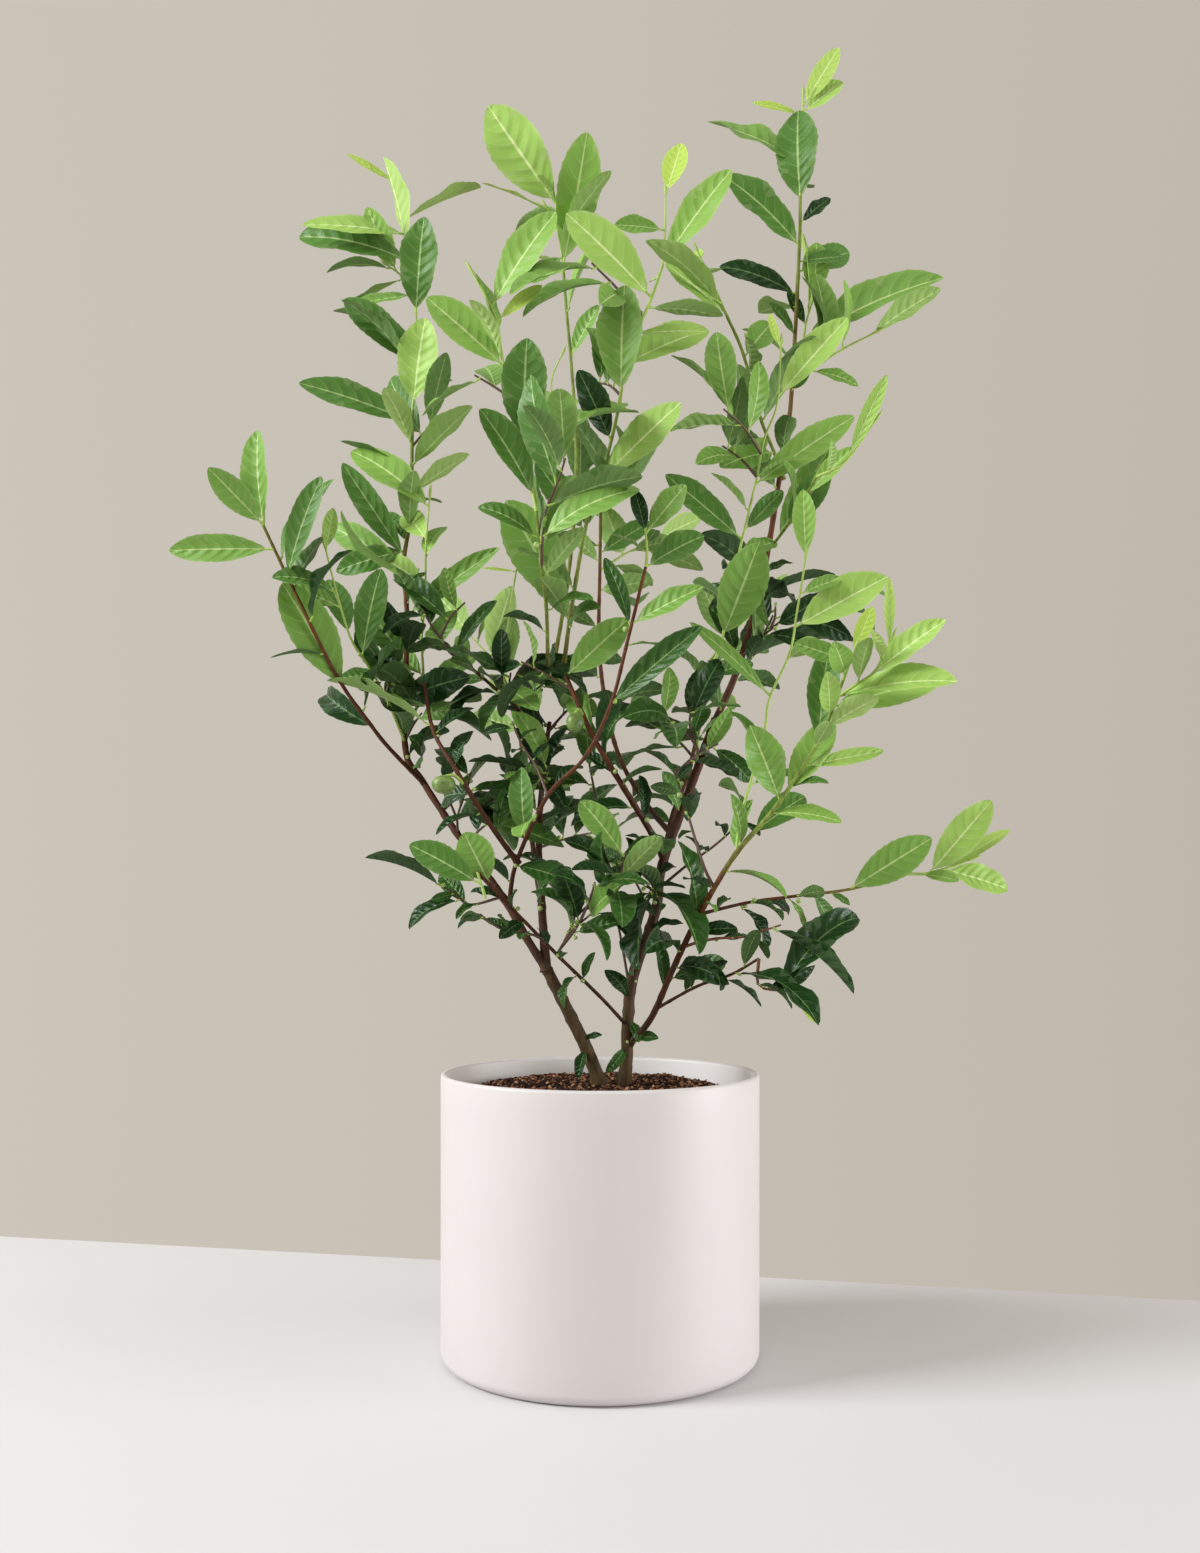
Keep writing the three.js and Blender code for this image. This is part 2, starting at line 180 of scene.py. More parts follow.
class Graph:
    """A node tree that is written as expressions."""

    def __init__(self, tree):
        self.tree = tree

    def node(self, kind, settings=None, values=None):
        """Adds a node: its settings are set first, then the values or links of its sockets."""
        made = self.tree.nodes.new(kind)
        for key, value in (settings or {}).items():
            if key == "stops":
                self.set_ramp(made.color_ramp, value)
            else:
                setattr(made, key, value)
        for key, value in (values or {}).items():
            if isinstance(key, int):
                self.feed(made.inputs[key], value)
            else:
                self.feed(next(s for s in made.inputs if s.name == key and s.enabled), value)
        return Outputs(self, made)

    def feed(self, socket, value):
        """Links a wire to a socket, or sets the socket's own value."""
        if isinstance(value, Wire):
            self.tree.links.new(value.socket, socket)
        elif socket.type == "VECTOR" and isinstance(value, (int, float)):
            socket.default_value = (value, value, value)
        elif socket.type == "RGBA" and len(value) == 3:
            socket.default_value = (*value, 1)
        else:
            socket.default_value = value

    def set_ramp(self, ramp, stops):
        """Gives a colour ramp its stops, as (place, colour)."""
        while len(ramp.elements) < len(stops):
            ramp.elements.new(1)
        for element, (place, colour) in zip(ramp.elements, stops):
            element.position = place
            element.color = (*colour, 1)

    def maths(self, operation, *terms):
        """A Math node, or a Vector Math node if a term is a vector."""
        kind = "ShaderNodeVectorMath" if any(is_vector(t) for t in terms) else "ShaderNodeMath"
        return self.node(kind, {"operation": operation}, dict(enumerate(terms)))[0]

    def sine(self, angle):
        return self.maths("SINE", angle)

    def cosine(self, angle):
        return self.maths("COSINE", angle)

    def scaled(self, vector, amount):
        """A vector made longer or shorter by a number."""
        return self.node("ShaderNodeVectorMath", {"operation": "SCALE"}, {0: vector, "Scale": amount})[0]

    def clamped(self, value):
        """The value held between 0 and 1."""
        return self.maths("MINIMUM", self.maths("MAXIMUM", value, 0.0), 1.0)

    def mix(self, share, first, second):
        """A colour between two others."""
        values = {"Factor": share, "A": first, "B": second}
        return self.node("ShaderNodeMix", {"data_type": "RGBA"}, values)["Result"]

    def noise(self, place, scale, detail=2.0):
        """Smooth random values round 0.5, with features 1 / scale across."""
        return self.node("ShaderNodeTexNoise", {}, {"Vector": place, "Scale": scale, "Detail": detail})[0]

    def attribute(self, name, kind="FLOAT"):
        """A named attribute of the geometry, in a geometry tree."""
        return self.node("GeometryNodeInputNamedAttribute", {"data_type": kind}, {"Name": name})["Attribute"]

    def object_place(self):
        """The place of a point in the object's own coordinates, in a shader tree."""
        return self.node("ShaderNodeTexCoord")["Object"]

    def bumped(self, height, strength, distance):
        """A normal that leans as if the surface had that height."""
        values = {"Strength": strength, "Distance": distance, "Height": height}
        return self.node("ShaderNodeBump", {}, values)["Normal"]


print("Graph can make:", sorted(name for name in vars(Graph) if not name.startswith("__")))

# %% Finishes, geometry trees and pieces
def finish_of(name, paint):
    """A material whose Principled BSDF takes the socket values that paint returns."""
    made = bpy.data.materials.new(name)
    made.use_nodes = True
    graph = Graph(made.node_tree)
    graph.tree.nodes.clear()
    shader = graph.node("ShaderNodeBsdfPrincipled", {}, paint(graph))
    graph.node("ShaderNodeOutputMaterial", {}, {"Surface": shader["BSDF"]})
    return made


def geometry_tree(name, inputs):
    """A geometry tree with named inputs, as (socket kind, name), and the graph that fills it."""
    tree = bpy.data.node_groups.new(name, "GeometryNodeTree")
    tree.interface.new_socket(name="Geometry", in_out="OUTPUT", socket_type="NodeSocketGeometry")
    for kind, label in [("Geometry", "Geometry"), *inputs]:
        tree.interface.new_socket(name=label, in_out="INPUT", socket_type="NodeSocket" + kind)
    graph = Graph(tree)
    return graph, graph.node("NodeGroupInput")


def plain_piece(name, mesh):
    """A new object with that mesh, at the origin."""
    made = bpy.data.objects.new(name, mesh)
    bpy.context.scene.collection.objects.link(made)
    return made


def grown_piece(name, seed_mesh, tree, values):
    """Runs a geometry tree on a mesh and keeps the result as a plain mesh in a new object."""
    carrier = plain_piece(name + "_seed", seed_mesh)
    modifier = carrier.modifiers.new("grow", "NODES")
    modifier.node_group = tree
    for socket in tree.interface.items_tree:
        if socket.in_out == "INPUT" and socket.name in values:
            modifier[socket.identifier] = values[socket.name]
    evaluated = carrier.evaluated_get(bpy.context.evaluated_depsgraph_get())
    mesh = bpy.data.meshes.new_from_object(evaluated)
    bpy.data.objects.remove(carrier)
    mesh.name = name
    print(name, len(mesh.polygons), "faces")
    return plain_piece(name, mesh)


print("node helpers ready")

# %% [markdown]
# The world is a plain warm grey that is a little lighter on the left. Its colour depends only on the
# direction in which one looks, so it stays put when the camera moves. The table top is near white and
# a little rough, and its far edge runs slightly slantwise behind the pot.

# %% World
BACKDROP_LEFT = (0.603, 0.560, 0.490)
BACKDROP_RIGHT = (0.528, 0.479, 0.416)

world = bpy.data.worlds.new("studio")
world.use_nodes = True
g = Graph(world.node_tree)
g.tree.nodes.clear()
sideways = g.node("ShaderNodeSeparateXYZ", {}, {0: g.node("ShaderNodeTexCoord")["Generated"]})[0]
backdrop = g.mix(g.clamped(sideways * 1.3 + 0.5), BACKDROP_LEFT, BACKDROP_RIGHT)
backdrop_shader = g.node("ShaderNodeBackground", {}, {"Color": backdrop, "Strength": 1.0})
g.node("ShaderNodeOutputWorld", {}, {"Surface": backdrop_shader["Background"]})
bpy.context.scene.world = world
print("world has", len(g.tree.nodes), "nodes")

# %% Table top
TABLE_BACK_LEFT = Vector((-0.647, 0.427, 0))
TABLE_BACK_RIGHT = Vector((0.54, 0.165, 0))
TABLE_REACH = 5.0

along_edge = (TABLE_BACK_RIGHT - TABLE_BACK_LEFT).normalized()
towards_viewer = Vector((along_edge.y, -along_edge.x, 0))
back_left = TABLE_BACK_LEFT - along_edge * TABLE_REACH
back_right = TABLE_BACK_RIGHT + along_edge * TABLE_REACH
table_mesh = bpy.data.meshes.new("table_top")
table_corners = [back_left, back_left + towards_viewer * TABLE_REACH,
                 back_right + towards_viewer * TABLE_REACH, back_right]
table_mesh.from_pydata(table_corners, [], [(0, 1, 2, 3)])
table_top = plain_piece("table_top", table_mesh)
table_mesh.materials.append(finish_of("table_finish", lambda g: {
    "Base Color": (0.615, 0.605, 0.615), "Roughness": 0.7}))
print("table top reaches", TABLE_REACH, "m to each side")

# %% [markdown]
# ## The pot
#
# The pot is slip-cast and glazed: a straight cylinder with a thin rounded lip and a softly rounded
# foot. A lathed profile is the natural way to make it. The CAD pot gives its size, and the profile
# here adds the fine rounding that the CAD solid does without.

# %% Pot profile
POT_WALL = 5 * MM
FOOT_ROUND = 9 * MM
TURN_STEPS = 160
ROUND_STEPS = 8
WALL_RINGS = 12
POT_FLOOR = 8 * MM
GLAZE_DARK = (0.575, 0.545, 0.543)
GLAZE_LIGHT = (0.63, 0.598, 0.597)
# Painted light: the inside of the pot is painted paler than the outside glaze, for the light that the crown
# keeps off it.
GLAZE_INSIDE_PAINTED_LIGHT = (0.80, 0.765, 0.755)
PAINTED_LIGHT_MARGIN = 0.3 * MM


def turned(name, profile, steps=TURN_STEPS):
    """A closed mesh from (radius, height) points turned about the upright axis."""
    shape = bmesh.new()
    rings = []
    for radius, height in profile:
        if radius == 0:
            rings.append([shape.verts.new((0, 0, height))])
            continue
        angles = [2 * math.pi * k / steps for k in range(steps)]
        rings.append([shape.verts.new((radius * math.cos(a), radius * math.sin(a), height)) for a in angles])
    for low, high in zip(rings, rings[1:]):
        for k in range(steps):
            n = (k + 1) % steps
            corners = [low[k % len(low)], low[n % len(low)], high[n % len(high)], high[k % len(high)]]
            shape.faces.new(list(dict.fromkeys(corners)))
    mesh = bpy.data.meshes.new(name)
    shape.to_mesh(mesh)
    shape.free()
    mesh.shade_smooth()
    return mesh


def rounded(radius, x, z, start, end):
    """Profile points on an arc round (x, z), between two angles in degrees."""
    angles = np.radians(np.linspace(start, end, ROUND_STEPS + 1))
    return [(x + radius * math.cos(a), z + radius * math.sin(a)) for a in angles]


pot_low, pot_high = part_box("pot")
pot_radius = (pot_high.x - pot_low.x) / 2
pot_height = pot_high.z
lip = POT_WALL / 2
inner_radius = pot_radius - POT_WALL
wall_heights = np.linspace(FOOT_ROUND, pot_height - lip, WALL_RINGS)[1:-1]
pot_profile = (
    [(0, 0)]
    + rounded(FOOT_ROUND, pot_radius - FOOT_ROUND, FOOT_ROUND, -90, 0)
    + [(pot_radius, z) for z in wall_heights]
    + rounded(lip, pot_radius - lip, pot_height - lip, 0, 180)
    + [(inner_radius, z) for z in wall_heights[::-1]]
    + [(inner_radius - lip, POT_FLOOR), (0, POT_FLOOR)]
)
print("pot profile has", len(pot_profile), "points")

# %% [markdown]
# The glaze is satin and off-white, and nearly even. Faint clouds and upright streaks vary its colour
# and gloss a little, and a fine orange peel breaks up the reflections. The inside is painted paler,
# as painted light for the light that the crown keeps off the inner wall.

# %% Pot piece
def paint_glaze(g):
    """Off-white satin glaze: faint clouding, a fine orange peel, uneven gloss, painted light inside."""
    place = g.object_place()
    cloud = g.noise(place, 11, 3)
    streak = g.noise(place * (55.0, 55.0, 3.0), 1, 2)
    peel = g.noise(place, 380, 2)
    split = g.node("ShaderNodeSeparateXYZ", {}, {0: place})
    from_axis = g.maths("SQRT", split[0] * split[0] + split[1] * split[1])
    # Painted light: this mask picks the inner wall, which is painted paler to stand in for light that the
    # crown keeps from it.
    inside = g.maths("LESS_THAN", from_axis, inner_radius + PAINTED_LIGHT_MARGIN)
    colour = g.mix(cloud * 0.7 + streak * 0.3, GLAZE_DARK, GLAZE_LIGHT)
    colour = g.mix(inside, colour, GLAZE_INSIDE_PAINTED_LIGHT)
    return {
        "Base Color": colour,
        "Roughness": 0.42 + cloud * 0.14,
        "Specular IOR Level": 0.36,
        "Coat Weight": 0.08,
        "Coat Roughness": 0.35,
        "Normal": g.bumped(peel * 0.4 + streak * 0.6, 0.06, 0.001),
    }


pot_mesh = turned("glazed_pot", pot_profile)
pot_mesh.materials.append(finish_of("glaze", paint_glaze))
glazed_pot = plain_piece("glazed_pot", pot_mesh)
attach(glazed_pot, "root")
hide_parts("pot")
print("pot radius", round(pot_radius, 4), "height", round(pot_height, 4))

# %% [markdown]
# ## The potting mix
#
# The mix is dark composted bark. Its bed is level in the middle, falls off towards the wall, and is
# full of small humps. The humps are a sum of a few crossing waves, which needs no texture and gives
# the mesh itself its shape.

# %% Bed
BED_RINGS = 26
BED_STEPS = 120
BED_EDGE_DROP = 11.5 * MM
LEVEL_SHARE = 0.7
EDGE_CURVE = 1.3
BED_HUMP = 2.6 * MM
HUMP_WAVES = 14
HUMP_PITCHES = (40, 260)
FULL_TURN = 6.3

mix_low, mix_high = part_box("potting_mix")
bed_radius = mix_high.x
bed_top = mix_high.z
hump_random = random.Random(11)
hump_waves = []
for _ in range(HUMP_WAVES):
    pitch = hump_random.uniform(*HUMP_PITCHES)
    hump_waves.append((pitch, hump_random.uniform(0, FULL_TURN), hump_random.uniform(0, FULL_TURN)))


def bed_height(x, y):
    """Height of the bed: a low mound with humps made of a few crossing waves."""
    share = math.hypot(x, y) / bed_radius
    humps = sum(math.sin(f * (x * math.cos(a) + y * math.sin(a)) + p) for f, a, p in hump_waves)
    slope = max(0, share - LEVEL_SHARE) / (1 - LEVEL_SHARE)
    return bed_top - BED_EDGE_DROP * slope ** EDGE_CURVE + BED_HUMP * (humps / len(hump_waves) - 0.2)


def bed_mesh():
    """The mound as a closed solid down to the pot's floor."""
    shape = bmesh.new()
    centre = shape.verts.new((0, 0, bed_height(0, 0)))
    rings = []
    for ring in range(1, BED_RINGS + 1):
        radius = bed_radius * ring / BED_RINGS
        spots = [(radius * math.cos(a), radius * math.sin(a))
                 for a in np.linspace(0, 2 * math.pi, BED_STEPS, endpoint=False)]
        rings.append([shape.verts.new((x, y, bed_height(x, y))) for x, y in spots])
    rings.append([shape.verts.new((v.co.x, v.co.y, mix_low.z)) for v in rings[-1]])
    base = shape.verts.new((0, 0, mix_low.z))
    for k in range(BED_STEPS):
        n = (k + 1) % BED_STEPS
        shape.faces.new((centre, rings[0][k], rings[0][n]))
        for inner, outer in zip(rings, rings[1:]):
            shape.faces.new((inner[k], outer[k], outer[n], inner[n]))
        shape.faces.new((base, rings[-1][n], rings[-1][k]))
    mesh = bpy.data.meshes.new("mix_bed")
    shape.to_mesh(mesh)
    shape.free()
    mesh.shade_smooth()
    return mesh


def paint_mix(g):
    """Damp composted bark: near-black crumbs with brown ones between."""
    place = g.object_place()
    crumb = g.noise(place, 420, 4)
    patch = g.noise(place, 60, 2)
    colour = g.mix(g.clamped(crumb * 2.6 - 1.0), (0.005, 0.003, 0.002), (0.06, 0.025, 0.013))
    return {
        "Base Color": g.mix(patch * 0.2, colour, (0.022, 0.011, 0.007)),
        "Roughness": 0.82 + crumb * 0.15,
        "Specular IOR Level": 0.12,
        "Normal": g.bumped(crumb + patch * 0.5, 0.9, 0.002),
    }


mix_piece_mesh = bed_mesh()
mix_piece_mesh.materials.append(finish_of("mix_finish", paint_mix))
mix_bed = plain_piece("mix_bed", mix_piece_mesh)
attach(mix_bed, "root")
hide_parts("potting_mix")
print("bed has", len(mix_piece_mesh.polygons), "faces, radius", round(bed_radius, 4))

# %% [markdown]
# Loose chips, fibres and a few orange-brown flecks lie on the bed. There are thousands, so Geometry
# Nodes scatter them: points on the bed's upper faces, a flake picked for each, a random turn and size,
# and a random finish. Seven plain flakes of a few faces each are enough, because no two of them come
# to lie alike.

# %% Flakes
CHIP_SHAPES = 7
CHIP_SEED = 5
HALF_LENGTH = 0.5
HALF_BREADTH = 0.27
TOP_SHARE = (0.86, 0.8)


def chip_mesh(number, chooser):
    """An irregular flake about 1 unit long: a thin slab on an uneven outline, with a tilted top."""
    corners = chooser.choice([5, 6, 7])
    outline = []
    for k in range(corners):
        angle = 2 * math.pi * (k + chooser.uniform(-0.3, 0.3)) / corners
        outline.append((HALF_LENGTH * math.cos(angle) * chooser.uniform(0.75, 1.1),
                        HALF_BREADTH * math.sin(angle) * chooser.uniform(0.6, 1.2)))
    thick = chooser.uniform(0.07, 0.2)
    below = [(x, y, 0) for x, y in outline]
    above = [(x * TOP_SHARE[0], y * TOP_SHARE[1], thick * chooser.uniform(0.6, 1.3)) for x, y in outline]
    ring = range(corners)
    faces = [tuple(reversed(ring)), tuple(corners + k for k in ring)]
    faces += [(k, (k + 1) % corners, corners + (k + 1) % corners, corners + k) for k in ring]
    mesh = bpy.data.meshes.new(f"flake_{number}")
    mesh.from_pydata(below + above, [], faces)
    return mesh


def paint_chip(dark, light):
    """Bark flakes of one tint, with fine fibres."""
    def paint(g):
        place = g.object_place()
        fibre = g.noise(place * (1.0, 3.0, 1.0), 520, 2)
        return {
            "Base Color": g.mix(fibre, dark, light),
            "Roughness": 0.78 + fibre * 0.18,
            "Specular IOR Level": 0.14,
            "Normal": g.bumped(fibre, 0.5, 0.0006),
        }
    return paint


CHIP_FINISHES = [
    finish_of("chip_dark", paint_chip((0.006, 0.003, 0.002), (0.034, 0.014, 0.008))),
    finish_of("chip_brown", paint_chip((0.085, 0.034, 0.018), (0.27, 0.125, 0.065))),
    finish_of("chip_orange", paint_chip((0.26, 0.115, 0.055), (0.52, 0.29, 0.16))),
]

flake_collection = bpy.data.collections.new("flakes")
chip_random = random.Random(CHIP_SEED)
for number in range(CHIP_SHAPES):
    flake_collection.objects.link(bpy.data.objects.new(f"flake_{number}", chip_mesh(number, chip_random)))

# %% Chip tree
CHIP_SHARES = (0.56, 0.87)
CHIP_TILT = 0.8
UPWARD = 0.5

g, given = geometry_tree("chip_scatter", [("Float", "Density"), ("Float", "Smallest"), ("Float", "Largest"),
                                          ("Float", "Reach"), ("Int", "Seed")])
place = g.node("GeometryNodeInputPosition")[0]
split = g.node("ShaderNodeSeparateXYZ", {}, {0: place})
facing = g.node("ShaderNodeSeparateXYZ", {}, {0: g.node("GeometryNodeInputNormal")[0]})
distance = g.maths("SQRT", split[0] * split[0] + split[1] * split[1])
on_top = g.maths("LESS_THAN", distance, given["Reach"]) * g.maths("GREATER_THAN", facing[2], UPWARD)
spread = g.node("GeometryNodeDistributePointsOnFaces", {}, {
    "Mesh": given["Geometry"], "Selection": on_top, "Density": given["Density"], "Seed": given["Seed"]})
size = g.node("FunctionNodeRandomValue", {"data_type": "FLOAT"}, {
    "Min": given["Smallest"], "Max": given["Largest"], "Seed": given["Seed"] + 1})["Value"]
turn = g.node("FunctionNodeRandomValue", {"data_type": "FLOAT_VECTOR"}, {
    "Min": (-CHIP_TILT, -CHIP_TILT, 0), "Max": (CHIP_TILT, CHIP_TILT, 2 * math.pi),
    "Seed": given["Seed"] + 2})["Value"]
flakes = g.node("GeometryNodeCollectionInfo", {}, {
    "Collection": flake_collection, "Separate Children": True, "Reset Children": True})["Instances"]
laid = g.node("GeometryNodeInstanceOnPoints", {}, {
    "Points": spread["Points"], "Instance": flakes, "Pick Instance": True, "Rotation": turn, "Scale": size})
draw = g.node("FunctionNodeRandomValue", {"data_type": "FLOAT"}, {"Seed": given["Seed"] + 3})["Value"]
marked = g.node("GeometryNodeStoreNamedAttribute", {"data_type": "FLOAT", "domain": "INSTANCE"}, {
    "Geometry": laid[0], "Name": "draw", "Value": draw})
shape = g.node("GeometryNodeRealizeInstances", {}, {"Geometry": marked[0]})[0]
drawn = g.attribute("draw")
shape = g.node("GeometryNodeSetMaterial", {}, {"Geometry": shape, "Material": CHIP_FINISHES[0]})[0]
for finish, least in zip(CHIP_FINISHES[1:], CHIP_SHARES):
    chosen = g.maths("GREATER_THAN", drawn, least)
    shape = g.node("GeometryNodeSetMaterial", {}, {
        "Geometry": shape, "Selection": chosen, "Material": finish})[0]
g.node("NodeGroupOutput", {}, {"Geometry": shape})
print("chip tree has", len(g.tree.nodes), "nodes")

# %% Chips
CHIP_DENSITY = 95000.0
CHIP_SIZES = (1.8 * MM, 6.2 * MM)
CHIP_LIMIT = 0.955
SCATTER_SEED = 3

bark_chips = grown_piece("bark_chips", mix_piece_mesh.copy(), g.tree, {
    "Density": CHIP_DENSITY, "Smallest": CHIP_SIZES[0], "Largest": CHIP_SIZES[1],
    "Reach": bed_radius * CHIP_LIMIT, "Seed": SCATTER_SEED})
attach(bark_chips, "root")

# %% [markdown]
# ## The limbs
#
# Two stems rise from one root and fork into boughs no thicker than a pencil. Each limb follows a
# route of a few places, the same as in the CAD, because the CAD's limbs are cut off where a mass of
# foliage begins and here they run on inside it. A smooth curve through the places gives the
# centreline. Limbs are listed as: radius at the foot, radius at the tip, how aged the bark is at each
# end (1 is grey-brown, 0.5 is red-brown, 0 is green), and the route, all in millimetres. An age below
# 0 at the tip turns a limb green some way before its end.

# %% Limb routes
LIMBS = {
    "stem_left": (5.3, 4.6, 1, 0.9, [
        (3, 0, 204), (-4, 0, 226), (-14, -2, 250), (-30, -4, 282), (-44, -5, 310)]),
    "stem_right": (5, 3.1, 0.95, 0.55, [
        (17, 2, 204), (21, 1, 234), (22, 0, 266), (26, 2, 299), (44, 6, 351), (50, 8, 390), (73, 12, 452),
        (92, 16, 505)]),
    "leader_left": (3.4, 1.3, 0.8, 0.05, [
        (-41, -5, 304), (-57, -6, 329), (-73, -2, 357), (-112, 14, 410), (-143, 26, 456), (-158, 32, 486),
        (-158, 46, 587), (-162, 54, 636), (-157, 60, 684), (-157, 72, 770)]),
    "leader_right": (2.9, 1.3, 0.6, 0.1, [
        (88, 15, 494), (106, 20, 534), (119, 27, 572), (135, 36, 636), (151, 42, 734), (157, 45, 776),
        (164, 50, 898), (165, 52, 940)]),
    "bough_upright": (3.7, 1.7, 0.75, 0.42, [
        (-42, -5, 304), (-46, 4, 353), (-49, 20, 401), (-47, 32, 454), (-41, 36, 505)]),
    "bough_centre": (2.8, 1.6, 0.66, 0.38, [
        (50, 8, 396), (39, -4, 415), (6, -38, 465), (-8, -46, 489), (-26, -42, 530)]),
    "bough_inner": (1.8, 1.2, 0.6, 0.36, [
        (-72, -2, 355), (-64, -30, 389), (-39, -66, 437), (-11, -84, 464), (8, -92, 502), (19, -96, 543),
        (33, -98, 600)]),
    "bough_inner_left": (2.2, 1.3, 0.6, 0.5, [
        (-63, -30, 388), (-86, -48, 421), (-110, -52, 460), (-128, -32, 490), (-138, -6, 530)]),
    "bough_cross": (1.4, 1.4, 0.7, 0.5, [
        (22, 0, 260), (0, -22, 285), (-29, -34, 314), (-50, -44, 336), (-64, -56, 351), (-90, -82, 380)]),
    "bough_far_left": (1.8, 1.1, 0.6, 0.2, [
        (-142, 25, 454), (-165, 6, 478), (-179, -6, 496), (-202, -34, 532), (-233, -52, 598),
        (-252, -60, 640)]),
    "bough_right": (2.7, 1.3, 0.8, -0.25, [
        (23, 0, 246), (40, -14, 268), (56, -32, 307), (73, -52, 345), (90, -74, 378), (103, -86, 398),
        (128, -98, 428), (157, -108, 474), (172, -120, 515)]),
    "bough_low_right": (1.3, 1, 0.7, 0.5, [
        (43, -17, 275), (73, -46, 294), (98, -62, 304), (118, -68, 316)]),
    "bough_far_right": (1.3, 1, 0.6, 0.05, [
        (75, -54, 349), (113, -52, 358), (151, -46, 363), (191, -38, 368), (236, -30, 380)]),
    "bough_mid_left": (1.6, 1.2, 0.6, 0.45, [
        (-47, 33, 460), (-61, 28, 506), (-89, 20, 534), (-120, 16, 558)]),
    "bough_back_left": (2.4, 1.4, 0.7, 0.4, [
        (-46, 4, 354), (-54, 50, 394), (-62, 95, 447), (-71, 130, 511), (-76, 145, 548)]),
    "bough_back_right": (2.4, 1.4, 0.7, 0.4, [
        (50, 8, 386), (59, 50, 427), (76, 95, 472), (92, 130, 537), (97, 142, 572)]),
    "bough_back_upper": (2.3, 1.3, 0.7, 0.2, [
        (57, 9, 412), (38, 54, 440), (14, 100, 490), (0, 130, 570), (0, 146, 660), (1, 150, 720)]),
    "bough_low_mid": (1.4, 1.1, 0.7, 0.6, [(46, 6, 360), (42, -20, 366), (36, -46, 370)]),
    "shoot_centre_top": (1.7, 1.2, 0.2, 0, [
        (-38, 14, 540), (-24, 40, 640), (-20, 70, 745), (-30, 92, 880), (-33, 100, 930)]),
    "shoot_centre_upper": (1.7, 1.2, 0.2, 0, [
        (-28, -24, 540), (-22, -40, 580), (-10, -50, 645), (1, -55, 676), (15, -56, 735), (16, -50, 770)]),
    "shoot_front": (1.5, 1.2, 0.2, 0, [(-40, -30, 540), (-40, -60, 575), (-43, -84, 606), (-46, -98, 640)]),
    "shoot_inner_right": (1.4, 1.1, 0.1, 0, [
        (150, 41, 704), (140, 26, 722), (128, 14, 745), (113, 4, 793), (98, 2, 826), (84, 8, 860)]),
    "shoot_right": (1.3, 1.1, 0.1, 0, [(136, 37, 644), (142, 8, 648), (150, -36, 656), (160, -74, 672)]),
}
print(len(LIMBS), "limbs listed")

# %% Centrelines
LIMB_STEP = 4 * MM
CURVE_STEPS = 14


def lengths_along(line):
    """How far each point of a line lies from its start, measured along it."""
    return np.concatenate([[0], np.cumsum(np.linalg.norm(np.diff(line, axis=0), axis=1))])


def smooth_line(points, step=LIMB_STEP):
    """Evenly spaced points on a smooth curve through the given ones."""
    points = [np.array(p, float) for p in points]
    if len(points) == 2:
        points.insert(1, (points[0] + points[1]) / 2)
    padded = [2 * points[0] - points[1], *points, 2 * points[-1] - points[-2]]
    dense = []
    for a, b, c, d in zip(padded, padded[1:], padded[2:], padded[3:]):
        for t in np.linspace(0, 1, CURVE_STEPS, endpoint=False):
            dense.append(0.5 * (2 * b + (c - a) * t + (2 * a - 5 * b + 4 * c - d) * t ** 2
                                + (3 * b - a - 3 * c + d) * t ** 3))
    dense = np.array([*dense, points[-1]])
    run = lengths_along(dense)
    even = np.linspace(0, run[-1], max(3, round(run[-1] / step) + 1))
    return np.stack([np.interp(even, run, dense[:, i]) for i in range(3)], axis=1)


def along(line, share):
    """The place at a share of a line's length, and the line's direction there."""
    spot = min(max(share, 0), 1) * (len(line) - 1)
    low = min(int(spot), len(line) - 2)
    heading = Vector(line[min(low + 2, len(line) - 1)] - line[max(low - 1, 0)]).normalized()
    return Vector(line[low] + (line[low + 1] - line[low]) * (spot - low)), heading


lines = {name: smooth_line(np.array(row[4]) * MM) for name, row in LIMBS.items()}
print(len(lines), "limbs,", sum(len(line) for line in lines.values()), "points")

# %% [markdown]
# ## Bark
#
# The bark is thin: olive-brown and finely ridged on the stems, red-brown on the boughs and green on
# the new shoots. A Curve to Mesh node sweeps a ring along each centreline and scales it by the stored
# thickness, and Set Position then pushes the skin in and out: long ridges, small warts, and a raised
# ring at every old leaf scar. The finish reads the stored age, so the colour runs smoothly along.

# %% Bark tree
SCAR_SHARPNESS = 14


def tube_along(graph, given):
    """A capped tube along each line of the tree's input, as thick as the line's points say."""
    curve = graph.node("GeometryNodeMeshToCurve", {}, {"Mesh": given["Geometry"]})[0]
    ring_values = {"Resolution": given["Sides"], "Radius": 1.0}
    ring = graph.node("GeometryNodeCurvePrimitiveCircle", {}, ring_values)[0]
    return graph.node("GeometryNodeCurveToMesh", {}, {
        "Curve": curve, "Profile Curve": ring, "Scale": graph.attribute("thick"), "Fill Caps": True})[0]


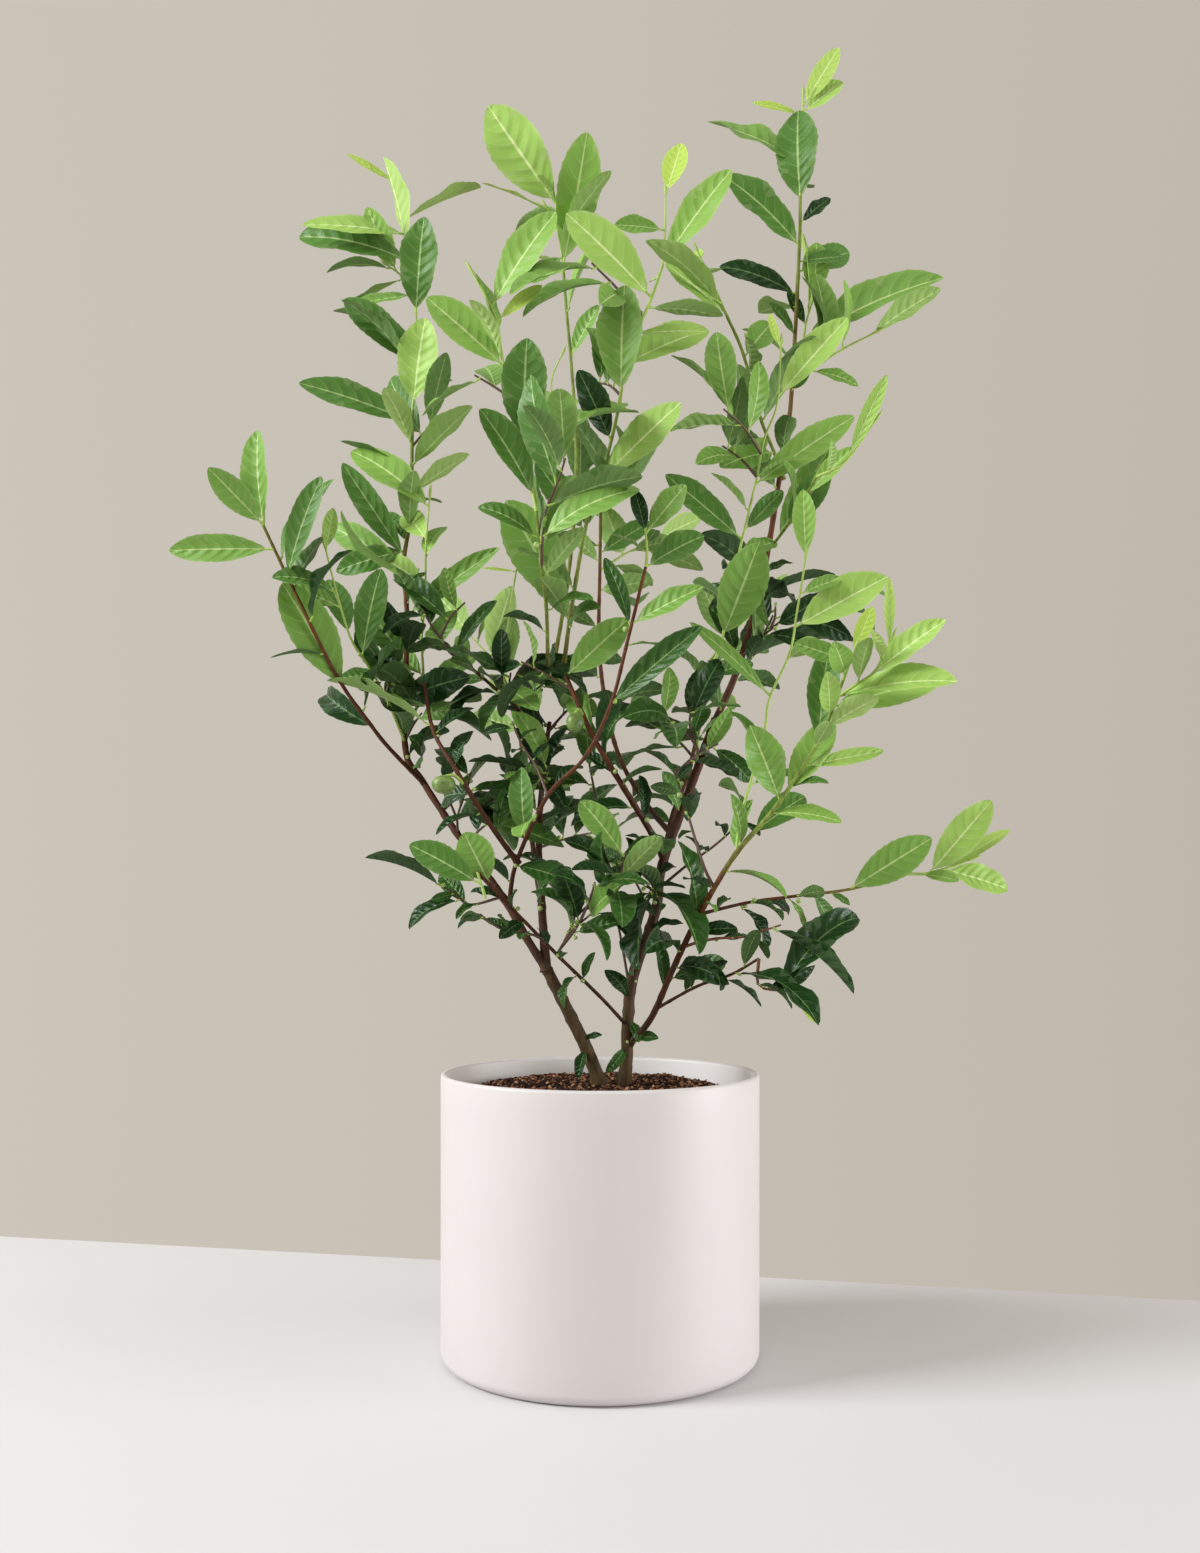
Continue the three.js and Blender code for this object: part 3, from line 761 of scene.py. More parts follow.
g, given = geometry_tree("bark_growth", [("Float", "Relief"), ("Float", "Scar spacing"), ("Int", "Sides"),
                                         ("Material", "Bark")])
skin = tube_along(g, given)
place = g.node("GeometryNodeInputPosition")[0]
normal = g.node("GeometryNodeInputNormal")[0]
thick = g.attribute("thick")
ridges = g.noise(place * (420.0, 420.0, 60.0), 1, 3) - 0.5
warts = g.noise(place, 190, 2) - 0.5
scar_turn = g.attribute("run") * (2 * math.pi) / given["Scar spacing"]
scar = g.maths("MAXIMUM", g.cosine(scar_turn), 0.0) ** SCAR_SHARPNESS
lift = thick * given["Relief"] * (ridges * 0.5 + warts * 0.8 + scar * 0.35)
skin = g.node("GeometryNodeSetPosition", {}, {"Geometry": skin, "Offset": g.scaled(normal, lift)})[0]
skin = g.node("GeometryNodeSetShadeSmooth", {}, {"Geometry": skin})[0]
skin = g.node("GeometryNodeRealizeInstances", {}, {"Geometry": skin})[0]
skin = g.node("GeometryNodeSetMaterial", {}, {"Geometry": skin, "Material": given["Bark"]})[0]
g.node("NodeGroupOutput", {}, {"Geometry": skin})
bark_tree = g.tree
print("bark tree has", len(bark_tree.nodes), "nodes")

# %% Bark finish
BARK_STOPS = [
    (0.0, (0.30, 0.44, 0.075)),
    (0.14, (0.25, 0.32, 0.055)),
    (0.32, (0.19, 0.056, 0.018)),
    (0.6, (0.088, 0.028, 0.010)),
    (0.8, (0.078, 0.036, 0.015)),
    (1.0, (0.120, 0.080, 0.028)),
]


def paint_bark(g):
    """Bark whose colour runs from grey-brown through red-brown to green as its stored age falls."""
    place = g.object_place()
    age = g.node("ShaderNodeAttribute", {"attribute_name": "age"})["Fac"]
    grain = g.noise(place * (300.0, 300.0, 70.0), 1, 4)
    patch = g.noise(place, 70, 3)
    lenticel = g.clamped(g.noise(place * (420.0, 420.0, 900.0), 1, 1) * 6 - 3.9)
    ramp = g.node("ShaderNodeValToRGB", {"stops": BARK_STOPS}, {"Fac": age + (patch - 0.5) * 0.22})["Color"]
    shaded = g.mix(g.clamped(grain * 2.2 - 0.75), (0.014, 0.008, 0.005), ramp)
    colour = g.mix(0.62, ramp, shaded)
    return {
        "Base Color": g.mix(lenticel * 0.3, colour, (0.27, 0.19, 0.10)),
        "Roughness": 0.5 + grain * 0.3,
        "Specular IOR Level": 0.22,
        "Normal": g.bumped(grain + patch * 0.4, 0.5, 0.0012),
    }


bark_finish = finish_of("bark", paint_bark)
print("bark finish has", len(BARK_STOPS), "stops from green to grey-brown")

# %% [markdown]
# Each limb swells at its foot: the stems flare into the root, and a bough has a small collar where
# it leaves its parent. That swelling is added to the thickness before the tree runs.

# %% Limb pieces
ROOT_FLARE = 1.6
FLARE_LENGTH = 8 * MM
COLLAR = 0.35
COLLAR_LENGTH = 5 * MM
BARK_SIDES = 14
BARK_RELIEF = 0.42
SCAR_SPACING = 17 * MM


def line_mesh(name, rows):
    """Edges along each (line, thickness, age, skin) row, with those numbers as point attributes."""
    places, edges, columns = [], [], {"thick": [], "age": [], "run": [], "skin": []}
    for line, thickness, age, skin_number in rows:
        start = len(places)
        places += [tuple(p) for p in line]
        edges += [(start + k, start + k + 1) for k in range(len(line) - 1)]
        columns["thick"] += list(thickness)
        columns["age"] += list(age)
        columns["skin"] += [skin_number] * len(line)
        columns["run"] += list(lengths_along(line))
    mesh = bpy.data.meshes.new(name + "_lines")
    mesh.from_pydata(places, edges, [])
    for label, values in columns.items():
        mesh.attributes.new(label, "FLOAT", "POINT").data.foreach_set("value", np.array(values, np.float32))
    return mesh


def limb_row(name):
    """A limb's centreline, thickness, age and skin number. The bark tree doesn't read the last."""
    foot, tip, foot_age, tip_age, _ = LIMBS[name]
    line = lines[name]
    shares = np.linspace(0, 1, len(line))
    run = shares * (len(line) - 1) * LIMB_STEP
    thickness = foot + (tip - foot) * shares
    if name.startswith("stem"):
        thickness += ROOT_FLARE * np.exp(-np.maximum(line[:, 2] - bed_top, 0) / FLARE_LENGTH)
    else:
        thickness *= 1 + COLLAR * np.exp(-run / COLLAR_LENGTH)
    age = np.maximum(0, foot_age + (tip_age - foot_age) * shares)
    return line, thickness * MM, age, 0


LIMB_PIECES = {
    "bark_stems": ("bark", ["stem_left", "stem_right"]),
    "bark_leaders": ("bark", ["leader_left", "leader_right"]),
    "bark_boughs_left": ("red_bark", ["bough_upright", "bough_inner", "bough_inner_left", "bough_cross",
                                      "bough_far_left", "bough_mid_left"]),
    "bark_boughs_right": ("red_bark", ["bough_centre", "bough_right", "bough_low_right", "bough_far_right",
                                       "bough_low_mid"]),
    "bark_boughs_back": ("red_bark", ["bough_back_left", "bough_back_right", "bough_back_upper"]),
    "bark_shoots": ("red_bark", ["shoot_centre_top", "shoot_centre_upper", "shoot_front", "shoot_inner_right",
                                 "shoot_right"]),
}
for piece_name, (slot_name, names) in LIMB_PIECES.items():
    limb_piece = grown_piece(piece_name, line_mesh(piece_name, [limb_row(n) for n in names]), bark_tree, {
        "Relief": BARK_RELIEF, "Scar spacing": SCAR_SPACING, "Sides": BARK_SIDES, "Bark": bark_finish})
    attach(limb_piece, "root")
    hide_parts(*names)

# %% [markdown]
# ## This year's shoots
#
# Beyond the limbs grow thin shoots: long green leaders at the top, and short woody twigs in the
# middle. Each one starts at a share of the way along its parent and follows a few places, listed as:
# parent, share, skin, radius, and route in millimetres.

# %% Shoot routes
SHOOTS = {
    "left_tip": ("leader_left", 1.0, "green", 1.2, [
        (-155, 78, 815), (-155, 80, 852), (-164, 86, 917), (-169, 90, 955), (-179, 94, 983)]),
    "left_vertical": ("leader_left", 0.45, "green", 1.2, [
        (-150, 50, 521), (-145, 46, 541), (-146, 44, 574), (-143, 42, 606), (-142, 40, 650),
        (-139, 40, 687)]),
    "left_outer": ("leader_left", 0.44, "green", 1.2, [
        (-168, 0, 518), (-181, -16, 543), (-192, -26, 561), (-200, -38, 591), (-208, -44, 625)]),
    "far_left_tip": ("bough_far_left", 1.0, "green", 1.2, [
        (-251, -62, 659)]),
    "mid_left_tip": ("bough_mid_left", 1.0, "brown", 1.2, [
        (-127, 14, 570)]),
    "inner_top": ("shoot_front", 1.0, "green", 1.2, [
        (-54, -92, 687), (-63, -78, 728), (-72, -68, 760), (-76, -66, 788), (-82, -64, 803),
        (-95, -60, 828)]),
    "centre_tip": ("shoot_centre_top", 1.0, "green", 1.2, [
        (-38, 104, 958), (-40, 104, 971)]),
    "centre_side": ("shoot_centre_top", 0.53, "green", 0.9, [
        (-34, 90, 765), (-40, 90, 782), (-41, 92, 804), (-34, 92, 821)]),
    "centre_spire": ("shoot_centre_upper", 1.0, "green", 1.2, [
        (30, -40, 798), (37, -30, 816), (48, -10, 853), (51, 0, 878), (52, 6, 919)]),
    "inner_tip": ("bough_inner", 1.0, "green", 1.1, [
        (34, -98, 612), (33, -98, 624)]),
    "thin_twig": ("bough_mid_left", 0.35, "green", 0.8, [
        (-81, 24, 549), (-76, 22, 569), (-72, 20, 593), (-70, 20, 608), (-67, 20, 626)]),
    "inner_right_tip": ("shoot_inner_right", 1.0, "green", 1.2, [
        (79, 10, 873)]),
    "green_leader": ("stem_right", 0.86, "green", 1.2, [
        (79, 8, 503), (87, 4, 527), (91, 0, 550), (96, -2, 565), (108, -6, 627), (122, -12, 688),
        (128, -14, 719), (138, -14, 746), (141, -14, 789)]),
    "right_tip": ("leader_right", 1.0, "green", 1.2, [
        (166, 54, 971), (167, 56, 997), (168, 58, 1023)]),
    "right_second": ("leader_right", 0.67, "green", 1.2, [
        (167, 54, 819), (171, 56, 840), (177, 58, 858)]),
    "right_twig_tip": ("shoot_right", 1.0, "green", 1.2, [
        (174, -84, 676), (182, -86, 683), (191, -88, 695), (198, -90, 705)]),
    "fan_back": ("bough_right", 0.56, "green", 1.2, [
        (102, -80, 411), (107, -78, 433), (113, -76, 453), (122, -74, 488), (125, -74, 508),
        (140, -76, 542), (145, -78, 572), (151, -80, 609)]),
    "fan_tip": ("bough_right", 1.0, "green", 1.2, [
        (176, -124, 526), (178, -126, 532)]),
    "fan_side": ("bough_right", 0.96, "green", 0.9, [
        (179, -128, 510), (192, -134, 519), (201, -138, 537)]),
    "far_right_tip": ("bough_far_right", 1.0, "green", 1.2, [
        (250, -26, 380), (270, -24, 385), (284, -22, 390)]),
    "low_right_tip": ("bough_low_right", 1.0, "red", 1.2, [
        (118, -68, 296), (137, -68, 292), (153, -68, 291)]),
    "twig_right": ("bough_right", 0.29, "red", 1.1, [
        (75, -50, 328), (90, -56, 331), (107, -60, 332), (135, -64, 341)]),
    "twig_crossing": ("bough_right", 0.46, "brown", 1.0, [
        (77, -72, 384), (68, -60, 416), (62, -50, 439), (57, -44, 455)]),
    "twig_rising": ("stem_right", 0.54, "brown", 1.0, [
        (69, -20, 388), (87, -40, 401), (108, -60, 420)]),
    "twig_front": ("stem_right", 0.46, "brown", 1.1, [
        (32, -12, 366), (20, -24, 387)]),
    "twig_behind": ("stem_right", 0.27, "brown", 1.0, [
        (15, 16, 338), (4, 24, 391), (-2, 26, 437)]),
    "twig_centre": ("bough_inner", 0.37, "brown", 1.1, [
        (-48, -52, 460), (-59, -48, 477), (-67, -46, 495)]),
    "twig_low_left": ("bough_cross", 0.84, "brown", 1.0, [
        (-97, -62, 356), (-108, -64, 364), (-117, -64, 370)]),
    "twig_left_edge": ("bough_cross", 0.54, "brown", 1.0, [
        (-49, -52, 333), (-68, -60, 336), (-79, -66, 341), (-89, -70, 349)]),
    "low_left_tip": ("bough_cross", 1.0, "green", 1.0, [
        (-87, -84, 371)]),
}
SKINS = {"green": 0, "red": 1, "brown": 2, "lime": 3}
SHOOT_STEP = 6 * MM
skins = {name: ("brown" if name.startswith("bough") else "green") for name in LIMBS}
for name, (parent, share, skin_name, _, route) in SHOOTS.items():
    start = along(lines[parent], share)[0]
    lines[name] = smooth_line([start, *(np.array(route) * MM)], SHOOT_STEP)
    skins[name] = skin_name
print(len(SHOOTS), "shoots")

# %% [markdown]
# ## The masses of foliage
#
# In the CAD, a closed mass stands for each spray of foliage. Here each mass is only a bound: it says
# where leaves may grow and where the sky shows. A mass is also drawn out to a sharp point wherever a
# leaf tip makes the outline of the crown. Those points are the sharpest corners of its mesh, so they
# can be found again, and one leaf is aimed at each.

# %% Masses
TIP_SHARPNESS = 0.62
TIP_NARROWNESS = 0.3
FARTHEST = 0.04
IN_THE_OPEN = -0.039
SLOT_OF = {row["node"]: row["material_slot"] for row in frame["record"]["subparts"]}


class Mass:
    """One CAD mass of foliage: its place, its surface, and the leaf tips it is drawn out to."""

    def __init__(self, name):
        shape = bmesh.new()
        shape.from_mesh(frame["nodes"][name].data)
        bmesh.ops.remove_doubles(shape, verts=shape.verts, dist=1e-5)
        shape.normal_update()
        low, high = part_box(name)
        self.name = name
        self.slot = SLOT_OF[name]
        self.low = Vector(low)
        self.high = Vector(high)
        self.centre = sum((v.co for v in shape.verts), Vector()) / len(shape.verts)
        self.volume = shape.calc_volume()
        self.surface = BVHTree.FromBMesh(shape)
        self.tips = [v.co.copy() for v in shape.verts if self.is_tip(v)]
        shape.free()

    def is_tip(self, vertex):
        """Whether all edges of a corner run back towards the middle of the mass."""
        ways = [(e.other_vert(vertex).co - vertex.co).normalized() for e in vertex.link_edges]
        mean = sum(ways, Vector()) / len(ways)
        outward = (vertex.co - self.centre).normalized()
        narrow = min(way.dot(mean.normalized()) for way in ways) > TIP_NARROWNESS
        return narrow and -mean.dot(outward) > TIP_SHARPNESS

    def depth(self, point):
        """How far inside the mass a point is, and below 0 outside it, down to -FARTHEST."""
        if any(not self.low[i] - FARTHEST < point[i] < self.high[i] + FARTHEST for i in range(3)):
            return -FARTHEST
        spot, normal, _, distance = self.surface.find_nearest(point)
        return distance if (point - spot).dot(normal) < 0 else -distance


masses = {name: Mass(name) for name in sorted(frame["nodes"]) if name.startswith("foliage")}


def crown_depth(point):
    """How far inside the crown a point is, and below 0 in the open."""
    return max(mass.depth(point) for mass in masses.values())


def mass_at(point):
    """The mass that a point lies deepest in, or nearest to."""
    deepest = max(masses.values(), key=lambda mass: mass.depth(point))
    if deepest.depth(point) > IN_THE_OPEN:
        return deepest
    return min(masses.values(), key=lambda mass: (mass.centre - point).length)


print(len(masses), "masses with", sum(len(m.tips) for m in masses.values()), "leaf tips in the outline")

# %% [markdown]
# ## The growth rule
#
# A tea bush sets one leaf at each node, and each node is turned about 137.5 degrees from the one
# below. The leaves near a tip are young, soft and lime-green; lower ones are older, darker and more
# curled. So every limb and shoot has a habit: the first and last share of it that bears leaves, how
# many, the shortest and longest leaf in millimetres, and the tones from foot to tip, where o is old,
# m is middling, y is young and l is lime. The bush is then dressed in four passes, and every random
# choice comes from a generator that is seeded with a name.
#
# 1. The leading leaves, which give the bush its character, are set from a list.
# 2. One leaf is aimed at each point of the crown's outline that is still open. If no limb is in
#    reach, a new shoot is grown towards it first.
# 3. Each limb and shoot sets its leaves in a spiral, and a leaf that would leave the crown is turned
#    to the next place of the spiral, or left out, so the gaps stay open.
# 4. Where a mass is still thin, side twigs grow into the emptiest places, with a few leaves each.

# %% Habits
HABITS = {
    "stem_right": (0.08, 0.85, 12, 24, 50, "ooom"),
    "leader_left": (0.38, 0.98, 22, 34, 76, "ooommmy"),
    "leader_right": (0.02, 0.88, 16, 30, 78, "ooommmmm"),
    "bough_upright": (0.2, 1, 12, 30, 60, "oomo"),
    "bough_centre": (0.08, 1, 10, 30, 66, "oom"),
    "bough_inner": (0.02, 0.95, 11, 34, 66, "omoomm"),
    "bough_inner_left": (0.12, 0.95, 8, 30, 54, "oom"),
    "bough_cross": (0.3, 0.9, 6, 18, 30, "o"),
    "bough_far_left": (0.2, 0.92, 7, 36, 76, "ooom"),
    "bough_right": (0.1, 0.95, 20, 20, 66, "ooommyy"),
    "bough_low_right": (0.3, 0.9, 7, 20, 46, "o"),
    "bough_far_right": (0.05, 0.75, 9, 16, 44, "oommm"),
    "bough_mid_left": (0.5, 1, 6, 30, 56, "om"),
    "bough_back_left": (0.3, 1, 11, 40, 78, "ooom"),
    "bough_back_right": (0.3, 1, 11, 40, 78, "ooom"),
    "bough_back_upper": (0.2, 1, 11, 40, 80, "ooomm"),
    "bough_low_mid": (0.4, 1, 5, 26, 42, "o"),
    "shoot_centre_top": (0.1, 0.9, 4, 44, 70, "oommy"),
    "shoot_centre_upper": (0.02, 0.85, 5, 36, 64, "mmmmy"),
    "shoot_front": (0.1, 0.9, 4, 36, 60, "omm"),
    "shoot_inner_right": (0.05, 0.7, 4, 46, 84, "mmy"),
    "shoot_right": (0.3, 0.9, 3, 36, 60, "mm"),
    "left_tip": (0.02, 0.6, 4, 40, 66, "mmmyy"),
    "left_vertical": (0.15, 0.9, 7, 40, 70, "mmmy"),
    "left_outer": (0.3, 1, 6, 36, 74, "ommy"),
    "far_left_tip": (0.05, 0.5, 2, 30, 50, "m"),
    "mid_left_tip": (0.5, 1, 2, 30, 44, "m"),
    "inner_top": (0.06, 0.9, 4, 26, 50, "mmyy"),
    "centre_tip": (0.3, 0.95, 2, 26, 40, "yl"),
    "centre_side": (0.4, 1, 3, 14, 26, "yl"),
    "inner_tip": (0.2, 0.9, 2, 24, 44, "mm"),
    "centre_spire": (0.15, 0.6, 2, 30, 50, "mmy"),
    "inner_right_tip": (0.5, 0.95, 2, 20, 30, "l"),
    "green_leader": (0.03, 0.9, 10, 36, 70, "mmmmyy"),
    "right_tip": (0.05, 0.6, 3, 24, 50, "mmo"),
    "right_second": (0.4, 1, 2, 24, 36, "yl"),
    "right_twig_tip": (0.1, 0.9, 3, 24, 44, "yl"),
    "fan_back": (0.1, 0.9, 8, 36, 66, "mmyyy"),
    "fan_tip": (0.1, 0.98, 2, 36, 50, "yyl"),
    "fan_side": (0.3, 0.9, 3, 34, 56, "yl"),
    "far_right_tip": (0.1, 0.9, 2, 30, 44, "yl"),
    "low_right_tip": (0.3, 0.95, 6, 24, 56, "o"),
    "twig_right": (0.3, 0.95, 4, 18, 28, "o"),
    "twig_crossing": (0.4, 1, 5, 16, 30, "o"),
    "twig_rising": (0.4, 1, 4, 16, 26, "o"),
    "twig_front": (0.4, 1, 7, 22, 46, "om"),
    "twig_behind": (0.4, 1, 6, 20, 34, "o"),
    "twig_centre": (0.4, 1, 4, 18, 26, "o"),
    "twig_low_left": (0.3, 1, 5, 20, 50, "o"),
    "twig_left_edge": (0.3, 1, 5, 18, 30, "o"),
    "low_left_tip": (0.5, 1, 2, 40, 62, "l"),
}
print("leaves by habit:", sum(row[2] for row in HABITS.values()))

# %% [markdown]
# A leading leaf is listed under its bearer as: share of the bearer's length, rise in degrees (0 points
# to the right, 90 up and 180 to the left), length in millimetres, tone, and half its breadth as a share
# of its length. It looks to the front, so it is seen in full. The two seed capsules are listed here as
# well, because leaves keep clear of them. A row gives bearer, share, centre, radius and half height in
# millimetres, number of lobes, and how deep the lobes are.

# %% Leading leaves
CAPSULES = [
    ("bough_inner_left", 0.41, (-117, -60, 446), 8.4, 7.2, 2, 0.08),
    ("bough_centre", 0.8, (-19, -56, 493), 6.7, 7.6, 3, 0.05),
]
LEADING_LEAVES = {
    "right_tip": [(0.93, 57, 60, "l", 0.16), (0.86, 40, 44, "y", 0.23), (0.84, 168, 38, "l", 0.1)],
    "leader_right": [(0.99, 91, 76, "m", 0.25), (0.91, 134, 88, "m", 0.2), (0.95, 40, 33, "o", 0.2),
                     (0.88, 6, 36, "m", 0.2), (0.82, 160, 68, "o", 0.14)],
    "right_second": [(1.0, 88, 44, "y", 0.28), (0.67, 120, 31, "o", 0.2), (0.5, 21, 120, "m", 0.17)],
    "green_leader": [(0.89, 49, 84, "y", 0.17), (1.0, 107, 30, "l", 0.12), (0.68, 33, 90, "y", 0.14),
                     (0.57, 46, 44, "m", 0.2), (0.55, 141, 78, "m", 0.16), (0.32, 69, 74, "m", 0.25)],
    "right_twig_tip": [(0.5, 66, 50, "y", 0.1)],
    "shoot_right": [(0.83, 44, 48, "y", 0.17), (0.24, 60, 90, "m", 0.14)],
    "centre_tip": [(0.71, 125, 97, "y", 0.25)],
    "shoot_centre_top": [(0.93, 79, 108, "y", 0.18), (0.95, 218, 34, "m", 0.24), (0.72, 59, 47, "m", 0.2),
                         (0.15, 120, 90, "m", 0.24)],
    "centre_spire": [(0.39, 137, 90, "y", 0.21), (0.82, 180, 40, "m", 0.23), (1.0, 70, 40, "l", 0.26),
                     (0.64, 59, 80, "y", 0.18), (0.14, -3, 54, "y", 0.11)],
    "shoot_centre_upper": [(0.87, 88, 80, "m", 0.25), (0.72, 117, 54, "o", 0.22), (0.6, 44, 84, "y", 0.21),
                           (0.43, 124, 66, "m", 0.18), (0.43, 79, 46, "m", 0.25)],
    "shoot_inner_right": [(0.78, 140, 62, "y", 0.23)],
    "inner_top": [(0.61, 136, 78, "y", 0.21), (0.79, 40, 44, "l", 0.15), (0.27, 91, 73, "m", 0.25),
                  (0.06, 123, 70, "m", 0.21)],
    "left_tip": [(0.39, 83, 75, "m", 0.23), (0.72, 181, 84, "y", 0.13), (0.94, 153, 45, "l", 0.08),
                 (0.19, 138, 80, "m", 0.19), (0.47, 193, 55, "m", 0.14), (0.02, 80, 70, "y", 0.27)],
    "leader_left": [(0.98, 160, 96, "m", 0.15), (0.75, 132, 98, "m", 0.14), (0.57, 126, 66, "m", 0.26),
                    (0.65, 34, 88, "m", 0.11), (0.76, 197, 60, "m", 0.2)],
    "left_outer": [(1.0, 79, 32, "y", 0.2)],
    "left_vertical": [(0.38, 48, 44, "m", 0.21), (0.21, 36, 58, "m", 0.2)],
    "bough_far_left": [(1.0, 94, 70, "m", 0.2), (1.0, 137, 60, "m", 0.21), (0.92, 175, 74, "m", 0.15),
                       (0.83, 67, 76, "m", 0.16), (0.44, 120, 90, "m", 0.21)],
    "bough_mid_left": [(0.97, 52, 56, "o", 0.13)],
    "thin_twig": [(0.35, 74, 33, "y", 0.15), (0.98, 175, 27, "l", 0.07), (0.98, 62, 20, "l", 0.09)],
    "bough_centre": [(1.0, 42, 64, "m", 0.22)],
    "bough_inner": [(1.0, 28, 48, "m", 0.25), (0.86, 25, 56, "m", 0.19), (0.85, 111, 54, "o", 0.13),
                    (0.66, 39, 84, "o", 0.13)],
    "inner_tip": [(1.0, 49, 44, "m", 0.26), (1.0, 105, 32, "o", 0.22)],
    "bough_back_upper": [(0.86, 31, 52, "m", 0.2)],
    "bough_back_left": [(0.79, 79, 62, "m", 0.25)],
    "fan_back": [(1.0, 92, 52, "y", 0.19), (0.89, 19, 34, "m", 0.25), (0.78, 28, 76, "y", 0.23),
                 (0.54, 139, 80, "m", 0.08)],
    "fan_tip": [(1.0, 68, 36, "l", 0.18), (0.7, 162, 42, "m", 0.2)],
    "fan_side": [(1.0, 95, 40, "l", 0.09), (0.56, 37, 62, "y", 0.18)],
    "bough_right": [(0.94, 15, 82, "y", 0.18), (0.86, 83, 70, "m", 0.18), (0.71, 113, 58, "m", 0.27),
                    (0.73, 56, 64, "y", 0.21), (0.8, 10, 58, "y", 0.11)],
    "bough_cross": [(0.91, 116, 44, "m", 0.36)],
    "low_left_tip": [(1.0, 151, 60, "m", 0.22)],
    "bough_far_right": [(0.71, 32, 74, "m", 0.2)],
    "far_right_tip": [(0.38, 46, 70, "y", 0.2), (0.62, 36, 56, "l", 0.11), (0.62, -17, 42, "y", 0.24)],
    "low_right_tip": [(0.89, -56, 28, "l", 0.2)],
}
print("leading leaves:", sum(len(rows) for rows in LEADING_LEAVES.values()))

# %% [markdown]
# Until the end, a leaf is only a row of numbers: where it sits, which way it points and faces, and how
# long, broad, bent, folded, wavy and twisted it is. Numbers are quick to compare, so a new leaf can
# keep clear of the others before any mesh is made.

# %% One leaf
TONES = "lymo"
PETIOLE = 3
PETIOLE_SPREAD = 2.5
GROWN_LENGTH = 50 * MM
BLADE_MIDDLE = 0.55
BREADTH_SHARES = (0.195, 0.24)
NARROWER_WITH_AGE = 0.006
SLENDER_FROM = 0.055
SLENDERING = 0.8
LEADING_CALM = 0.55
LEADING_ROOM = 22 * MM
WAVE_LEAST = 0.03
# The next rows hold one value for each tone, in the order of TONES.
BEND_LEAST = (0.1, 0.15, 0.25, 0.5)
BEND_MOST = (0.5, 0.6, 0.9, 1.5)
FOLD_LEAST = (0.1, 0.12, 0.15, 0.15)
FOLD_MOST = (0.35, 0.4, 0.45, 0.6)
WAVE_MOST = (0.08, 0.1, 0.14, 0.26)
TWIST_SPREAD = (0.15, 0.2, 0.3, 0.5)
TURNED_OUT = {"l": 0.45, "y": 0.55, "m": 0.5, "o": 0.45}
UPWARD_WISH = 0.75
OUTWARD_WISH = 0.4
FRONT_WISH = 0.9
BACK_WISH = -0.4
BACK_FROM = 0.1
TURNED_AWAY = 0.1
STRAY = 0.3
SIDE_LOOK = (-0.1, 0.2)
UP_LOOK = (0.35, 0.15)
leaves = []


def blade_face(direction, seat, tone, chooser):
    """Which way the upper side of a leaf looks: up, outwards and a little to the front, by chance."""
    outward = Vector((seat.x, seat.y, 0)).normalized()
    facing = 1.0 if chooser.random() < TURNED_OUT[tone] else TURNED_AWAY
    front = Vector((0, -1, 0)) * (FRONT_WISH if seat.y < BACK_FROM else BACK_WISH)
    stray = Vector([chooser.gauss(0, STRAY) for _ in range(3)])
    wish = Vector((0, 0, UPWARD_WISH)) + (outward * OUTWARD_WISH + front) * facing + stray
    return (wish - direction * wish.dot(direction)).normalized()


def front_face(direction, chooser):
    """A face that looks to the front and a little up, for a leaf that is seen in full."""
    wish = Vector((chooser.gauss(*SIDE_LOOK), -1, chooser.gauss(*UP_LOOK)))
    return (wish - direction * wish.dot(direction)).normalized()


def usual_breadth(age, length, chooser):
    """Half the breadth as a share of the length: old leaves and long leaves are more slender."""
    share = chooser.uniform(*BREADTH_SHARES)
    return share - NARROWER_WITH_AGE * age - SLENDERING * max(0, length - SLENDER_FROM)


def add_leaf(base, direction, length, tone, chooser, breadth=None):
    """Notes one leaf on its petiole. Old leaves curl, fold and wave more than young ones."""
    age = TONES.index(tone)
    calm = LEADING_CALM if breadth else 1
    petiole = (PETIOLE + PETIOLE_SPREAD * chooser.random()) * MM * min(1, length / GROWN_LENGTH)
    seat = base + direction * petiole
    leaves.append({
        "base": base,
        "seat": seat,
        "axis": direction,
        "face": front_face(direction, chooser) if breadth else blade_face(direction, seat, tone, chooser),
        "length": length - petiole,
        "middle": base + direction * length * BLADE_MIDDLE,
        "breadth": breadth or usual_breadth(age, length, chooser),
        "bend": chooser.uniform(BEND_LEAST[age], BEND_MOST[age]) * calm,
        "fold": chooser.uniform(FOLD_LEAST[age], FOLD_MOST[age]),
        "wave": chooser.uniform(WAVE_LEAST, WAVE_MOST[age]),
        "phase": chooser.uniform(0, 2 * math.pi),
        "twist": chooser.gauss(0, TWIST_SPREAD[age]) * calm,
        "tone": age * 2 + chooser.choice([0, 1]),
        "room": LEADING_ROOM if breadth else 0,
    })


print("a leaf is bent by up to", BEND_MOST[-1], "radians and waved by up to", WAVE_MOST[-1])

# %% Room for a leaf
NODE_CLEARANCE = 5 * MM
CAPSULE_ROOM = 17 * MM
CAPSULE_VIEW = (0, 20, 40)


def is_crowded(middle, clearance):
    """Whether another leaf's middle is too near."""
    return any((leaf["middle"] - middle).length < max(clearance, leaf["room"]) for leaf in leaves)


